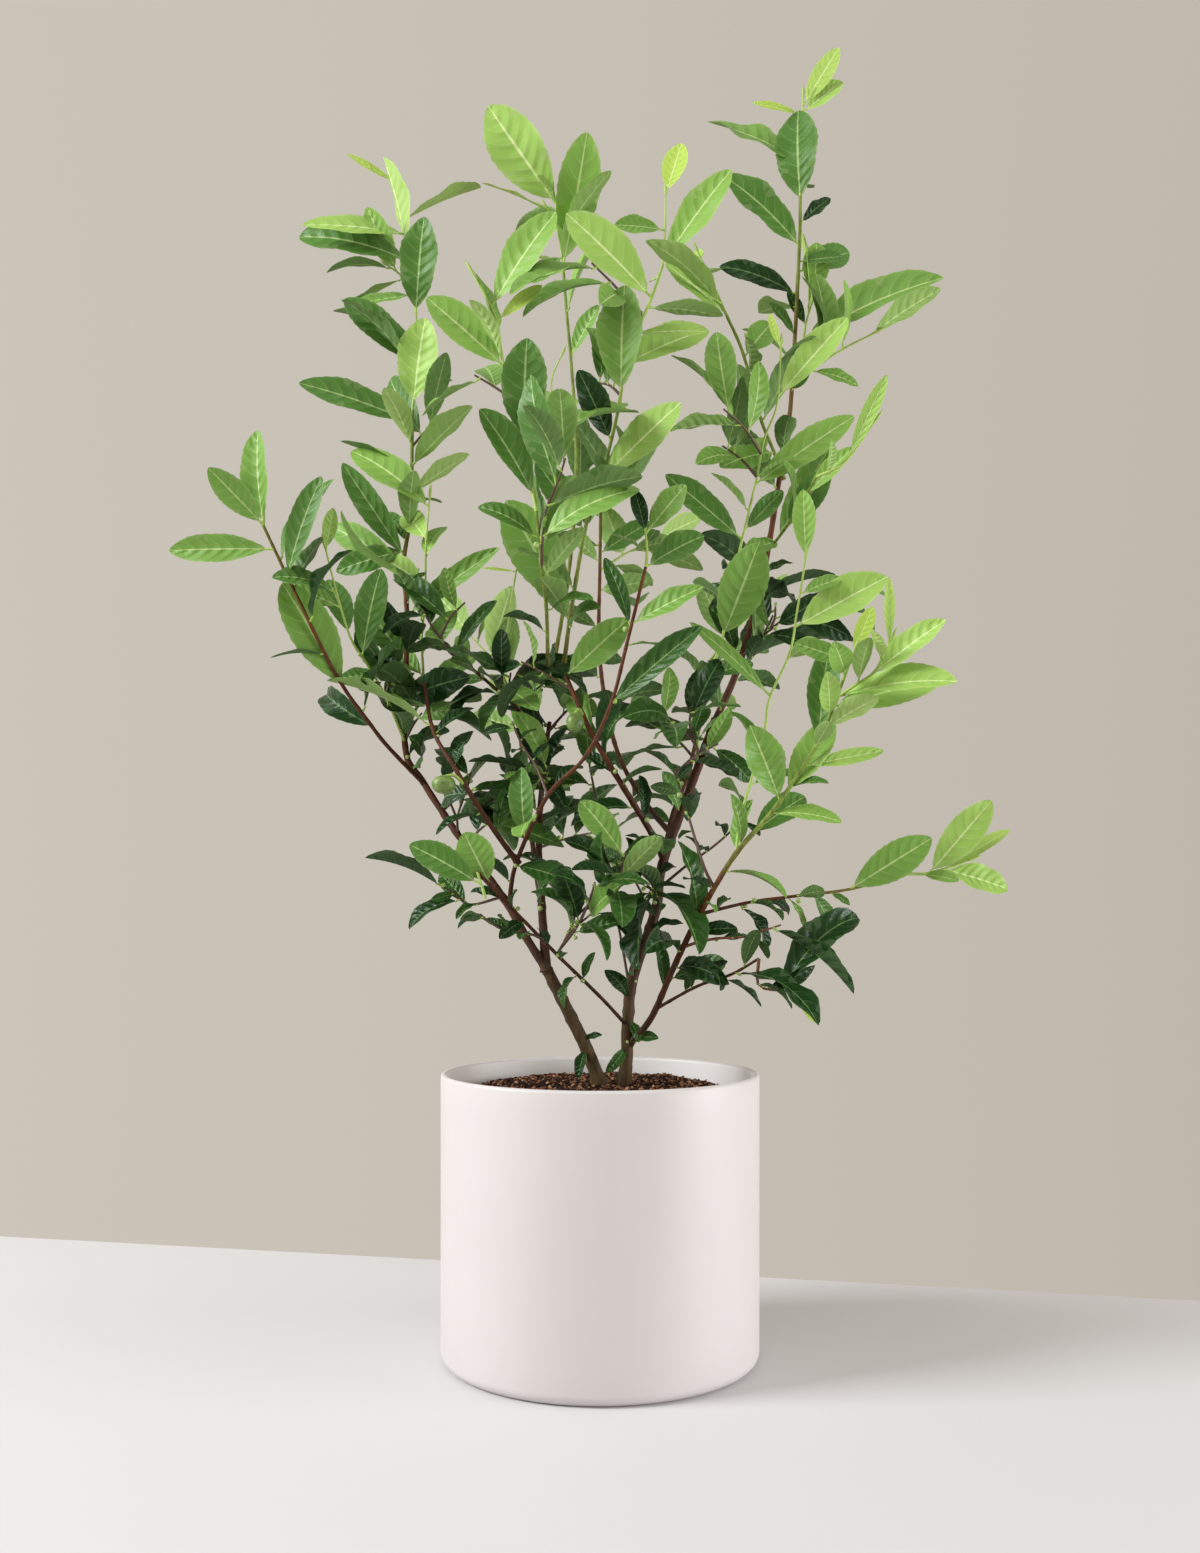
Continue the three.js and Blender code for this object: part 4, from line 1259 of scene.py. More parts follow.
def hides_capsule(base, tip):
    """Whether a leaf from base to tip would touch a seed capsule or stand just before it."""
    for _, _, centre, *_ in CAPSULES:
        for forward in CAPSULE_VIEW:
            spot = (Vector(centre) - Vector((0, forward, 0))) * MM
            share = min(max((spot - base).dot(tip - base) / (tip - base).length_squared, 0), 1)
            if (base.lerp(tip, share) - spot).length < CAPSULE_ROOM:
                return True
    return False


def is_taken(base):
    """Whether another leaf already sits at that node."""
    return any((leaf["base"] - base).length < NODE_CLEARANCE for leaf in leaves)


print("a leaf keeps", CAPSULE_ROOM / MM, "mm from the middle of a capsule")

# %% Leaves in a spiral
SPIRAL = math.radians(137.5)
LEAF_ANGLES = (42, 72)
TONE_STRAY = 0.45
LEAF_CLEARANCE = {"l": 17 * MM, "y": 17 * MM, "m": 14 * MM, "o": 9 * MM}
CLEARANCE_SHARE = 0.3
LEAN_OUT = {"l": 6 * MM, "y": 8 * MM, "m": 16 * MM, "o": 24 * MM}
LIFT = {"l": 0.12, "y": 0.05, "m": -0.1, "o": -0.25}
LIME_LENGTH = 0.8
TURNS = 7
SHORTER = 0.93


def tone_at(tones, share, chooser):
    """The tone of a leaf at a share of its bearer, now and then one step off."""
    spot = share * len(tones) - 0.5 + chooser.uniform(-TONE_STRAY, TONE_STRAY)
    return tones[min(max(round(spot), 0), len(tones) - 1)]


def side_direction(axis, azimuth, angle):
    """A direction at an angle to an axis, turned about it."""
    sideways = axis.orthogonal().normalized()
    across = axis.cross(sideways)
    outward = sideways * math.cos(azimuth) + across * math.sin(azimuth)
    return (axis * math.cos(angle) + outward * math.sin(angle)).normalized()


def set_leaves(name, line, habit):
    """Sets the leaves of one limb or shoot in a spiral, inside the crown."""
    first, last, count, shortest, longest, tones = habit
    chooser = random.Random(name)
    azimuth = chooser.uniform(0, 2 * math.pi)
    for k in range(count):
        share = first + (last - first) * (k + chooser.uniform(0.2, 0.8)) / count
        base, axis = along(line, share)
        if is_taken(base):
            continue
        tone = tone_at(tones, (share - first) / (last - first), chooser)
        length = chooser.uniform(shortest, longest) * MM
        if tone == "l":
            length *= LIME_LENGTH
        for _ in range(TURNS):
            azimuth += SPIRAL
            angle = math.radians(chooser.uniform(*LEAF_ANGLES))
            direction = side_direction(axis, azimuth, angle)
            direction = (direction + Vector((0, 0, LIFT[tone]))).normalized()
            inside = crown_depth(base + direction * length) > -LEAN_OUT[tone]
            clearance = min(LEAF_CLEARANCE[tone], length * CLEARANCE_SHARE)
            free = inside and not hides_capsule(base, base + direction * length)
            if free and not is_crowded(base + direction * length * BLADE_MIDDLE, clearance):
                add_leaf(base, direction, length, tone, chooser)
                break
            length = max(length * SHORTER, shortest * MM)


print("each node turns by", round(math.degrees(SPIRAL), 1), "degrees")

# %% [markdown]
# A leaf that has to end at a given point needs a good place to start from. `best_seat` gives every
# place on every limb a cost: a leaf likes to leave its limb at about 58 degrees, or nearly straight
# ahead at the very end, to be about 70 mm long, and to have no neighbour at its foot.

# %% A seat for a given tip
LONGEST_REACH = 100 * MM
SHORTEST_REACH = 26 * MM
BELOW_FIRST = 0.03
SIDE_ANGLE = 58
END_ANGLE = 18
END_FROM = 0.9
ANGLE_SPREAD = 28
USUAL_REACH = 70
REACH_SPREAD = 20
NEIGHBOUR_REACH = 7 * MM
NEIGHBOUR_COST = 0.9
HIGHER_COST = 0.08
UNREACHED = 1e9


def best_seat(tip):
    """The limb, share and cost of the best place to grow a leaf that reaches a tip."""
    best = (None, 0, UNREACHED)
    for name in sorted(lines):
        line = lines[name]
        habit = HABITS.get(name)
        reach = np.linalg.norm(line - np.array(tip), axis=1)
        for k in np.nonzero((reach < LONGEST_REACH) & (reach > SHORTEST_REACH))[0]:
            share = k / (len(line) - 1)
            if habit and not habit[0] - BELOW_FIRST <= share <= 1:
                continue
            base, axis = along(line, share)
            angle = math.degrees(axis.angle(tip - base))
            astray = abs(angle - SIDE_ANGLE)
            if share > END_FROM:
                astray = min(astray, abs(angle - END_ANGLE))
            cost = astray / ANGLE_SPREAD
            cost += max(0, abs(reach[k] / MM - USUAL_REACH) - REACH_SPREAD) / REACH_SPREAD
            neighbours = sum(1 for leaf in leaves if (leaf["base"] - base).length < NEIGHBOUR_REACH)
            cost += neighbours * NEIGHBOUR_COST
            if cost < best[2]:
                best = (name, share, cost)
    return best


def nearest_bearer(point, below):
    """The limb and share nearest to a point, among places a little below it."""
    best = (None, 0, UNREACHED)
    for name in sorted(lines):
        line = lines[name]
        gap = np.linalg.norm(line - np.array(point), axis=1)
        gap = gap + np.where(line[:, 2] > point.z - below, HIGHER_COST, 0.0)
        k = int(np.argmin(gap))
        if gap[k] < best[2] and k > 0:
            best = (name, k / (len(line) - 1), gap[k])
    return best[:2]


print("a leaf may reach from", SHORTEST_REACH / MM, "to", LONGEST_REACH / MM, "mm")

# %% New shoots and outline
TIP_CATCH = 26 * MM
HEADING_STRAY = (-0.3, 0.1)
TWIG_BOW = 0.12
TWIG_SAG = 0.06
DEAREST_SEAT = 2.4
BELOW_TIP = 0.06
END_LEAF = 62 * MM
END_LEAF_SHARE = 0.6
TIP_SHOOT_SPAN = (0.15, 0.92)
TIP_SHOOT_LEAVES = (40, 78)
POINTS_PER_LEAF = 3
OUTLINE_TONES = {"young_leaf": "yl", "leaf": "my", "old_leaf": "om"}
side_twigs = []


def grow_twig(parent, share, end, name, skin_name):
    """A new shoot that leaves its parent gently and rises to its end."""
    start, axis = along(lines[parent], share)
    span = (end - start).length
    middle = start + (end - start) * 0.5 + axis * span * TWIG_BOW - Vector((0, 0, span * TWIG_SAG))
    lines[name] = smooth_line([start, middle, end], SHOOT_STEP)
    skins[name] = skin_name
    side_twigs.append(name)
    return lines[name]


def lead_leaves():
    """Sets the leading leaves. One that ends near a point of the outline is aimed at that point."""
    for name, rows in LEADING_LEAVES.items():
        chooser = random.Random(f"leading {name}")
        for share, rise, length, tone, breadth in rows:
            base = along(lines[name], share)[0]
            rise = math.radians(rise)
            heading = Vector((math.cos(rise), chooser.uniform(*HEADING_STRAY), math.sin(rise)))
            tip = base + heading * length * MM
            nearest = min(open_tips, key=lambda spot: (spot - tip).length)
            if (nearest - tip).length < TIP_CATCH:
                open_tips.remove(nearest)
                tip = nearest
            add_leaf(base, (tip - base).normalized(), (tip - base).length, tone, chooser, breadth)


def reach_outline():
    """Aims a leaf at each tip that is still open, on a new shoot where no limb is near."""
    for mass in masses.values():
        tones = OUTLINE_TONES[mass.slot]
        for number, tip in enumerate(mass.tips):
            if tip not in open_tips:
                continue
            chooser = random.Random(f"{mass.name} {number}")
            name, share, cost = best_seat(tip)
            if cost > DEAREST_SEAT:
                parent, start_share = nearest_bearer(tip, BELOW_TIP)
                start = along(lines[parent], start_share)[0]
                short = (tip - start).normalized() * min(END_LEAF, (tip - start).length * END_LEAF_SHARE)
                name = f"{mass.name}_twig_{number}"
                twig = grow_twig(parent, start_share, tip - short, name, "green")
                count = max(1, len(twig) // POINTS_PER_LEAF)
                HABITS[name] = (*TIP_SHOOT_SPAN, count, *TIP_SHOOT_LEAVES, tones)
                share = 1
            base = along(lines[name], share)[0]
            habit = HABITS.get(name)
            tone = tone_at(habit[5] if habit else tones, share, chooser)
            add_leaf(base, (tip - base).normalized(), (tip - base).length, tone, chooser)


open_tips = [tip for mass in masses.values() for tip in mass.tips]
lead_leaves()
leading_count = len(leaves)
reach_outline()
print(leading_count, "leading leaves,", len(leaves) - leading_count, "more at the outline")

# %% [markdown]
# A few small old leaves hang on the bare stems, low down and below the crown. They are listed with
# their bearer, share, heading and length. The spirals come after them.

# %% Feet and spirals
FOOT_LEAVES = [
    ("stem_left", 0.36, (-0.2, -0.5, -0.85), 27 * MM),
    ("stem_left", 0.42, (0.9, -0.3, 0.25), 17 * MM),
    ("stem_right", 0.13, (-0.6, -0.4, -0.7), 28 * MM),
    ("stem_right", 0.14, (0.93, -0.3, 0.15), 26 * MM),
    ("stem_right", 0.2, (0.35, -0.4, -0.75), 22 * MM),
    ("bough_cross", 0.36, (-0.25, -0.6, -0.75), 34 * MM),
]


def dress_feet():
    """Sets a few small old leaves low down on the bare stems, below the crown."""
    chooser = random.Random("feet")
    for name, share, heading, length in FOOT_LEAVES:
        base = along(lines[name], share)[0]
        add_leaf(base, Vector(heading).normalized(), length, "o", chooser)


dress_feet()
for name in sorted(HABITS):
    set_leaves(name, lines[name], HABITS[name])
print(len(leaves), "leaves with the spirals,", len(side_twigs), "new shoots")

# %% [markdown]
# Each mass wants so many leaves for its volume. Side twigs grow into it one by one, each towards the
# emptiest of a handful of random places, until the mass is full or the twigs run out. A twig that
# finds no room for a leaf is taken away again.

# %% Side twigs
ROOM_PER_LEAF = {"young_leaf": 46e-6, "leaf": 50e-6, "old_leaf": 21e-6}
BACK_ROOM = 2.8
TWIG_LEAVES = {"young_leaf": (55, 85, "yym"), "leaf": (55, 88, "mmm"), "old_leaf": (36, 68, "oomo")}
TRIALS = 24
WELL_INSIDE = 8 * MM
MOST_TWIGS = 40
BELOW_PLACE = 0.02
BARE_FOOT = 0.35
POINTS_PER_TWIG_LEAF = 2.5
TWIG_LEAF_LIMITS = (2, 5)


def emptiest_place(mass, chooser):
    """Of some random places inside a mass, the one furthest from any leaf."""
    best, room = None, 0
    for _ in range(TRIALS):
        spot = Vector([chooser.uniform(mass.low[i], mass.high[i]) for i in range(3)])
        if mass.depth(spot) < WELL_INSIDE:
            continue
        gap = min((leaf["middle"] - spot).length for leaf in leaves)
        if gap > room:
            best, room = spot, gap
    return best


def leaves_in(mass):
    """How many leaves have their middle inside a mass."""
    return sum(1 for leaf in leaves if mass.depth(leaf["middle"]) > 0)


def fill_mass(mass):
    """Grows side twigs with a few leaves into the empty places of a mass."""
    chooser = random.Random(mass.name)
    room = ROOM_PER_LEAF[mass.slot] * (BACK_ROOM if mass.name.startswith("foliage_back") else 1)
    wanted = round(mass.volume / room)
    shortest, longest, tones = TWIG_LEAVES[mass.slot]
    number = 0
    fewest, most = TWIG_LEAF_LIMITS
    while leaves_in(mass) < wanted and number < MOST_TWIGS:
        number += 1
        spot = emptiest_place(mass, chooser)
        if spot is None:
            return
        parent, share = nearest_bearer(spot, BELOW_PLACE)
        name = f"{mass.name}_side_{number}"
        twig = grow_twig(parent, share, spot, name, "green" if mass.slot == "young_leaf" else "brown")
        count = max(fewest, min(most, round(len(twig) / POINTS_PER_TWIG_LEAF)))
        before = len(leaves)
        set_leaves(name, twig, (BARE_FOOT, 1, count, shortest, longest, tones))
        if len(leaves) == before:
            side_twigs.remove(name)
            del lines[name]


for mass_name in sorted(masses):
    fill_mass(masses[mass_name])
print(len(leaves), "leaves,", len(side_twigs), "new shoots and side twigs")

# %% [markdown]
# ## Twigs and petioles
#
# Shoots, side twigs and petioles are thin tubes, so six sides are enough, and relief would not show.
# One tree draws them all, and the stored skin number deals out four finishes: green on new growth,
# red-brown and dark brown on older twigs, and lime on the petioles.

# %% Twig finishes
def paint_twig(dark, light):
    """Thin bark of one tint with fine streaks."""
    def paint(g):
        place = g.object_place()
        streak = g.noise(place * (500.0, 500.0, 90.0), 1, 3)
        return {
            "Base Color": g.mix(streak, dark, light),
            "Roughness": 0.42 + streak * 0.25,
            "Normal": g.bumped(streak, 0.25, 0.0006),
        }
    return paint


TWIG_FINISHES = [
    finish_of("twig_green", paint_twig((0.24, 0.38, 0.055), (0.42, 0.55, 0.13))),
    finish_of("twig_red", paint_twig((0.13, 0.040, 0.022), (0.26, 0.09, 0.045))),
    finish_of("twig_brown", paint_twig((0.045, 0.024, 0.016), (0.12, 0.055, 0.034))),
    finish_of("petiole_lime", paint_twig((0.24, 0.40, 0.05), (0.40, 0.56, 0.11))),
]
print("twig finishes:", [finish.name for finish in TWIG_FINISHES])

# %% Twig tree
g, given = geometry_tree("twig_growth", [("Int", "Sides")])
shape = tube_along(g, given)
shape = g.node("GeometryNodeSetShadeSmooth", {}, {"Geometry": shape})[0]
shape = g.node("GeometryNodeRealizeInstances", {}, {"Geometry": shape})[0]
shape = g.node("GeometryNodeSetMaterial", {}, {"Geometry": shape, "Material": TWIG_FINISHES[0]})[0]
for least, finish in enumerate(TWIG_FINISHES[1:]):
    chosen = g.maths("GREATER_THAN", g.attribute("skin"), least + 0.5)
    shape = g.node("GeometryNodeSetMaterial", {}, {
        "Geometry": shape, "Selection": chosen, "Material": finish})[0]
g.node("NodeGroupOutput", {}, {"Geometry": shape})
twig_tree = g.tree
print("twig tree has", len(twig_tree.nodes), "nodes")

# %% [markdown]
# The foliage is sorted into pieces by the CAD mass that each leaf grows in: one piece for each age of
# leaf, as the finish slot of its masses gives it, and each part of the crown.

# %% Sorting
LEFT_EDGE = -0.08
RIGHT_EDGE = 0.075


def part_of_crown(mass):
    """Left, middle, right or back."""
    if mass.name.startswith("foliage_back"):
        return "back"
    if mass.centre.x < LEFT_EDGE:
        return "left"
    return "middle" if mass.centre.x < RIGHT_EDGE else "right"


AGE_NAMES = {"young_leaf": "young", "leaf": "grown", "old_leaf": "old"}
groups = {}
for mass in masses.values():
    groups.setdefault((AGE_NAMES[mass.slot], part_of_crown(mass)), []).append(mass)
leaf_groups = {key: [] for key in groups}
for leaf in leaves:
    mass = mass_at(leaf["middle"])
    leaf_groups[(AGE_NAMES[mass.slot], part_of_crown(mass))].append(leaf)
for key in sorted(groups):
    print(key, len(groups[key]), "masses,", len(leaf_groups[key]), "leaves")

# %% Twig pieces
TWIG_SIDES = 6
TWIG_RADIUS = 1.0
FOOT_SWELLING = 0.25
TIP_RADIUS = 0.75
END_BUD_LENGTH = 13 * MM
END_BUD_SHARES = (0.25, 0.5, 0.75, 1)
END_BUD_RADII = (1.15, 1.3, 0.9, 0.15)
PETIOLE_SHAPE = (1.25, 1, 0.9, 0.8)
PETIOLE_RADIUS = 0.55
RADIUS_PER_LENGTH = 5.0
PETIOLE_OVERLAP = 0.02
SORTING_SHARE = 0.6


def shoot_row(name):
    """A shoot's centreline and thickness. A green one ends in a slender bud."""
    line = lines[name]
    foot = SHOOTS[name][3] if name in SHOOTS else TWIG_RADIUS
    thickness = np.linspace(foot + FOOT_SWELLING, min(TIP_RADIUS, foot), len(line))
    if skins[name] == "green":
        end, axis = along(line, 1)
        bud = [np.array(end + axis * END_BUD_LENGTH * t) for t in END_BUD_SHARES]
        line = np.array([*line, *bud])
        thickness = np.array([*thickness, *END_BUD_RADII])
    return line, thickness * MM, np.zeros(len(line)), SKINS[skins[name]]


def petiole_row(leaf):
    """A short stalk from the limb's centre to just inside the leaf. Longer leaves have stouter ones."""
    line = [leaf["base"] + (leaf["seat"] - leaf["base"]) * t for t in (0, 0.5, 1)]
    line.append(leaf["seat"] + leaf["axis"] * leaf["length"] * PETIOLE_OVERLAP)
    size = PETIOLE_RADIUS + RADIUS_PER_LENGTH * leaf["length"]
    return np.array(line), np.array(PETIOLE_SHAPE) * size * MM, np.zeros(len(line)), SKINS["lime"]


twig_rows = {}
for name in [*SHOOTS, *side_twigs]:
    mass = mass_at(along(lines[name], SORTING_SHARE)[0])
    twig_rows.setdefault(part_of_crown(mass), []).append(shoot_row(name))
for key, members in leaf_groups.items():
    twig_rows.setdefault(key[1], []).extend(petiole_row(leaf) for leaf in members)
for part, rows in sorted(twig_rows.items()):
    piece_name = f"twigs_{part}"
    twig_piece = grown_piece(piece_name, line_mesh(piece_name, rows), twig_tree, {"Sides": TWIG_SIDES})
    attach(twig_piece, "root")

# %% [markdown]
# ## Seed capsules
#
# Two green seed capsules hang in the middle of the bush. A capsule is a squat ball with two or three
# soft lobes, a dimple where its stalk joins, and the dry cup of the flower round the dimple. It could
# be lathed like the pot, but a lathe has no lobes, so each ring of points is pushed out by a cosine.

# %% Capsule shape
CAPSULE_RINGS = 14
CAPSULE_STEPS = 28
DIMPLE_SPREAD = 0.4


def lobed_ball(shape, centre, radius, half_height, lobes, depth, dimple):
    """Adds a closed ball of a few lobes to a bmesh, in millimetres, with a dimple on top."""
    rings = []
    for k in range(1, CAPSULE_RINGS):
        polar = math.pi * k / CAPSULE_RINGS
        height = half_height * math.cos(polar) - dimple * math.exp(-(polar / DIMPLE_SPREAD) ** 2)
        ring = []
        for j in range(CAPSULE_STEPS):
            angle = 2 * math.pi * j / CAPSULE_STEPS
            reach = radius * math.sin(polar) * (1 + depth * math.cos(lobes * angle))
            spot = Vector((reach * math.cos(angle), reach * math.sin(angle), height))
            ring.append(shape.verts.new((centre + spot) * MM))
        rings.append(ring)
    top = shape.verts.new((centre + Vector((0, 0, half_height - dimple))) * MM)
    bottom = shape.verts.new((centre - Vector((0, 0, half_height))) * MM)
    for j in range(CAPSULE_STEPS):
        n = (j + 1) % CAPSULE_STEPS
        shape.faces.new((top, rings[0][j], rings[0][n]))
        shape.faces.new((bottom, rings[-1][n], rings[-1][j]))
        for upper, lower in zip(rings, rings[1:]):
            shape.faces.new((upper[j], lower[j], lower[n], upper[n]))


print("capsule sizes in mm:", [row[3:5] for row in CAPSULES])

# %% Capsules
DIMPLE = 1.6
CUP_RADIUS = 2.9
CUP_HALF_HEIGHT = 0.9
CUP_DROP = 1.1
CUP_LOBES = 5
CUP_LOBE_DEPTH = 0.22
CUP_DIMPLE = 0.2
STALK_RADII = (1.5, 1.1)
STALK_RISE = 4 * MM
STALK_STEP = 1.5 * MM


def paint_capsule(g):
    """Smooth green skin with darker clouds, and paler specks."""
    place = g.object_place()
    cloud = g.noise(place, 150, 3)
    speck = g.clamped(g.noise(place, 900, 1) * 8 - 4.6)
    skin = g.mix(g.clamped(cloud * 2.4 - 0.7), (0.075, 0.135, 0.028), (0.19, 0.30, 0.06))
    return {
        "Base Color": g.mix(speck * 0.4, skin, (0.34, 0.42, 0.15)),
        "Roughness": 0.3 + cloud * 0.15,
        "Normal": g.bumped(cloud + speck * 0.3, 0.3, 0.001),
    }


capsule_shape = bmesh.new()
stalk_rows = []
for bearer, share, centre, radius, half_height, lobes, depth in CAPSULES:
    centre = Vector(centre)
    lobed_ball(capsule_shape, centre, radius, half_height, lobes, depth, DIMPLE)
    cup_centre = centre + Vector((0, 0, half_height - CUP_DROP))
    lobed_ball(capsule_shape, cup_centre, CUP_RADIUS, CUP_HALF_HEIGHT, CUP_LOBES, CUP_LOBE_DEPTH, CUP_DIMPLE)
    joint = along(lines[bearer], share)[0]
    crown = cup_centre * MM
    bow = (joint + crown) * 0.5 + Vector((0, 0, STALK_RISE))
    stalk = smooth_line([joint, bow, crown], STALK_STEP)
    thickness = np.linspace(*STALK_RADII, len(stalk)) * MM
    stalk_rows.append((stalk, thickness, np.zeros(len(stalk)), SKINS["green"]))
capsule_mesh = bpy.data.meshes.new("seed_capsules")
capsule_shape.to_mesh(capsule_mesh)
capsule_shape.free()
capsule_mesh.shade_smooth()
capsule_mesh.materials.append(finish_of("capsule_skin", paint_capsule))
seed_capsules = plain_piece("seed_capsules", capsule_mesh)
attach(seed_capsules, "root")
print("seed capsules have", len(capsule_mesh.polygons), "faces")

# %% [markdown]
# ## Flower buds
#
# Small round flower buds sit on short stalks where old leaves join the twigs. There are several dozen
# and they are all alike, so a geometry tree sets one low ball on each point, in its own random size.

# %% Bud places
BUD_COUNT = 64
BUD_STALK = 4.5 * MM
BUD_TOP = 0.62
OLD_TONE = 5
BUD_ANGLE = math.radians(70)
BUD_DROOP = Vector((0, -0.5, -0.3))
BUD_STALK_RADII = (0.6, 0.5, 0.7)

bud_random = random.Random("buds")
old_seats = [leaf for leaf in leaves if leaf["tone"] >= OLD_TONE and leaf["base"].z < BUD_TOP]
bud_places = []
for leaf in bud_random.sample(old_seats, BUD_COUNT):
    way = side_direction(leaf["axis"], bud_random.uniform(0, 2 * math.pi), BUD_ANGLE)
    way = (way + BUD_DROOP).normalized()
    bud_places.append(tuple(leaf["base"] + way * BUD_STALK))
    stalk = np.array([leaf["base"] + way * BUD_STALK * share for share in (0, 0.5, 1)])
    stalk_rows.append((stalk, np.array(BUD_STALK_RADII) * MM, np.zeros(len(stalk)), SKINS["lime"]))
print(len(bud_places), "of", len(old_seats), "old leaves get a bud")

# %% Buds
BUD_SIZES = (2.6 * MM, 4.6 * MM)
BUD_SEED = 2


def paint_bud(g):
    """Pale green overlapping scales."""
    scale_edge = g.noise(g.object_place(), 520, 2)
    return {
        "Base Color": g.mix(g.clamped(scale_edge * 2 - 0.5), (0.20, 0.32, 0.07), (0.46, 0.58, 0.20)),
        "Roughness": 0.4 + scale_edge * 0.15,
        "Normal": g.bumped(scale_edge, 0.4, 0.0006),
    }


g, given = geometry_tree("bud_growth", [("Float", "Smallest"), ("Float", "Largest"), ("Int", "Seed"),
                                        ("Material", "Scales")])
ball = g.node("GeometryNodeMeshUVSphere", {}, {"Segments": 8, "Rings": 5, "Radius": 0.5})["Mesh"]
size = g.node("FunctionNodeRandomValue", {"data_type": "FLOAT"}, {
    "Min": given["Smallest"], "Max": given["Largest"], "Seed": given["Seed"]})["Value"]
shape = g.node("GeometryNodeInstanceOnPoints", {}, {
    "Points": given["Geometry"], "Instance": ball, "Scale": size})[0]
shape = g.node("GeometryNodeRealizeInstances", {}, {"Geometry": shape})[0]
shape = g.node("GeometryNodeSetShadeSmooth", {}, {"Geometry": shape})[0]
shape = g.node("GeometryNodeSetMaterial", {}, {"Geometry": shape, "Material": given["Scales"]})[0]
g.node("NodeGroupOutput", {}, {"Geometry": shape})

bud_seats = bpy.data.meshes.new("bud_seats")
bud_seats.from_pydata(bud_places, [], [])
flower_buds = grown_piece("flower_buds", bud_seats, g.tree, {
    "Smallest": BUD_SIZES[0], "Largest": BUD_SIZES[1], "Seed": BUD_SEED,
    "Scales": finish_of("bud_scales", paint_bud)})
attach(flower_buds, "root")
stalk_mesh = line_mesh("fruit_stalks", stalk_rows)
stalk_piece = grown_piece("fruit_stalks", stalk_mesh, twig_tree, {"Sides": TWIG_SIDES})
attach(stalk_piece, "root")

# %% [markdown]
# ## One leaf, as a formula
#
# A tea leaf is a long ellipse, broadest a little past its middle, with a blunt tip and a finely
# toothed edge. Its blade is folded a little along the midrib, arches down towards the tip, waves along
# the edge and puffs up between the side veins. More than five hundred modelled leaves would be a lot
# of handwork, so there is one flat blank of 66 faces, and a geometry tree that bends each copy by its
# own numbers. A point of the blank stores where it is on the blade: s from edge to edge, u from foot
# to tip, and a third number that is below 0 under the blade.

# %% Leaf blank
STATIONS = 11
ACROSS = (-1, -0.5, 0, 0.5, 1)
TOOTH = 1.045
TOOTH_PLACE = 0.62
FOOT_TAPER = 0.86
TIP_TAPER = 0.74
BLANK_DEPTH = 0.01


def outline(u):
    """Half the breadth of the blade at a share of its length, as a share of its greatest."""
    widest = FOOT_TAPER / (FOOT_TAPER + TIP_TAPER)
    greatest = widest ** FOOT_TAPER * (1 - widest) ** TIP_TAPER
    return u ** FOOT_TAPER * (1 - u) ** TIP_TAPER / greatest


def leaf_blank():
    """The flat blade: four strips above, two below, and a tooth on each outer edge."""
    points, reach, faces, below = [], [], [], []

    def point(s, u, side=0, tooth=1.0):
        points.append((s, u, side))
        reach.append(s * outline(u) * tooth)
        return len(points) - 1

    foot, tip = point(0, 0), point(0, 1)
    top = [[foot] * 5]
    under = [foot]
    for k in range(1, STATIONS):
        u = k / STATIONS
        top.append([point(s, u) for s in ACROSS])
        under.append(point(0, u, -1))
    top.append([tip] * 5)
    under.append(tip)
    for k in range(STATIONS):
        a, b = top[k], top[k + 1]
        teeth = [point(s, (k + TOOTH_PLACE) / STATIONS, 0, TOOTH) for s in (-1, 1)]
        strips = [(a[0], a[1], b[1], b[0], teeth[0]), (a[1], a[2], b[2], b[1]),
                  (a[2], a[3], b[3], b[2]), (a[3], a[4], teeth[1], b[4], b[3])]
        strips += [(under[k], a[0], teeth[0], b[0], under[k + 1]),
                   (a[4], under[k], under[k + 1], b[4], teeth[1])]
        faces += [tuple(dict.fromkeys(strip)) for strip in strips]
        below += [0, 0, 0, 0, 1, 1]
    mesh = bpy.data.meshes.new("leaf_blank")
    mesh.from_pydata([(s, u, side * BLANK_DEPTH) for s, u, side in points], [], faces)
    blade = mesh.attributes.new("blade", "FLOAT_VECTOR", "POINT")
    blade.data.foreach_set("vector", np.array(points, float).ravel())
    mesh.attributes.new("reach", "FLOAT", "POINT").data.foreach_set("value", reach)
    mesh.attributes.new("below", "FLOAT", "FACE").data.foreach_set("value", below)
    for edge in mesh.edges:
        edge.use_edge_sharp = all(abs(points[v][0]) == 1 or v in (foot, tip) for v in edge.vertices)
    return mesh


blank = bpy.data.objects.new("leaf_blank", leaf_blank())
print("leaf blank has", len(blank.data.polygons), "faces")

# %% [markdown]
# The finish has to know where it is on the blade, so the leaves carry a UV map in which each of the
# eight tones has its own column and each side of the blade its own row. From it the shader works out
# u and s again and paints the midrib, the side veins, a pale rim and a pale foot. Every tint is a pair:
# the colour of the blade and that of its veins, from lime to nearly black-green.

# %% Leaf finish
SIDE_VEINS = 7.5
VEIN_LEAN = 0.15
VEIN_CURVE = 0.6
VEIN_SHARPNESS = 24
VEIN_STRENGTH = 0.22
MIDRIB_ABOVE = 0.74
MIDRIB_BELOW = 0.62
MIDRIB_BREADTH = 0.055
RIM_STRENGTH = 0.14
PALE_FOOT = 0.14
TONE_COUNT = 8
PATCH_INSET = 0.02
ACROSS_SHARE = 0.45
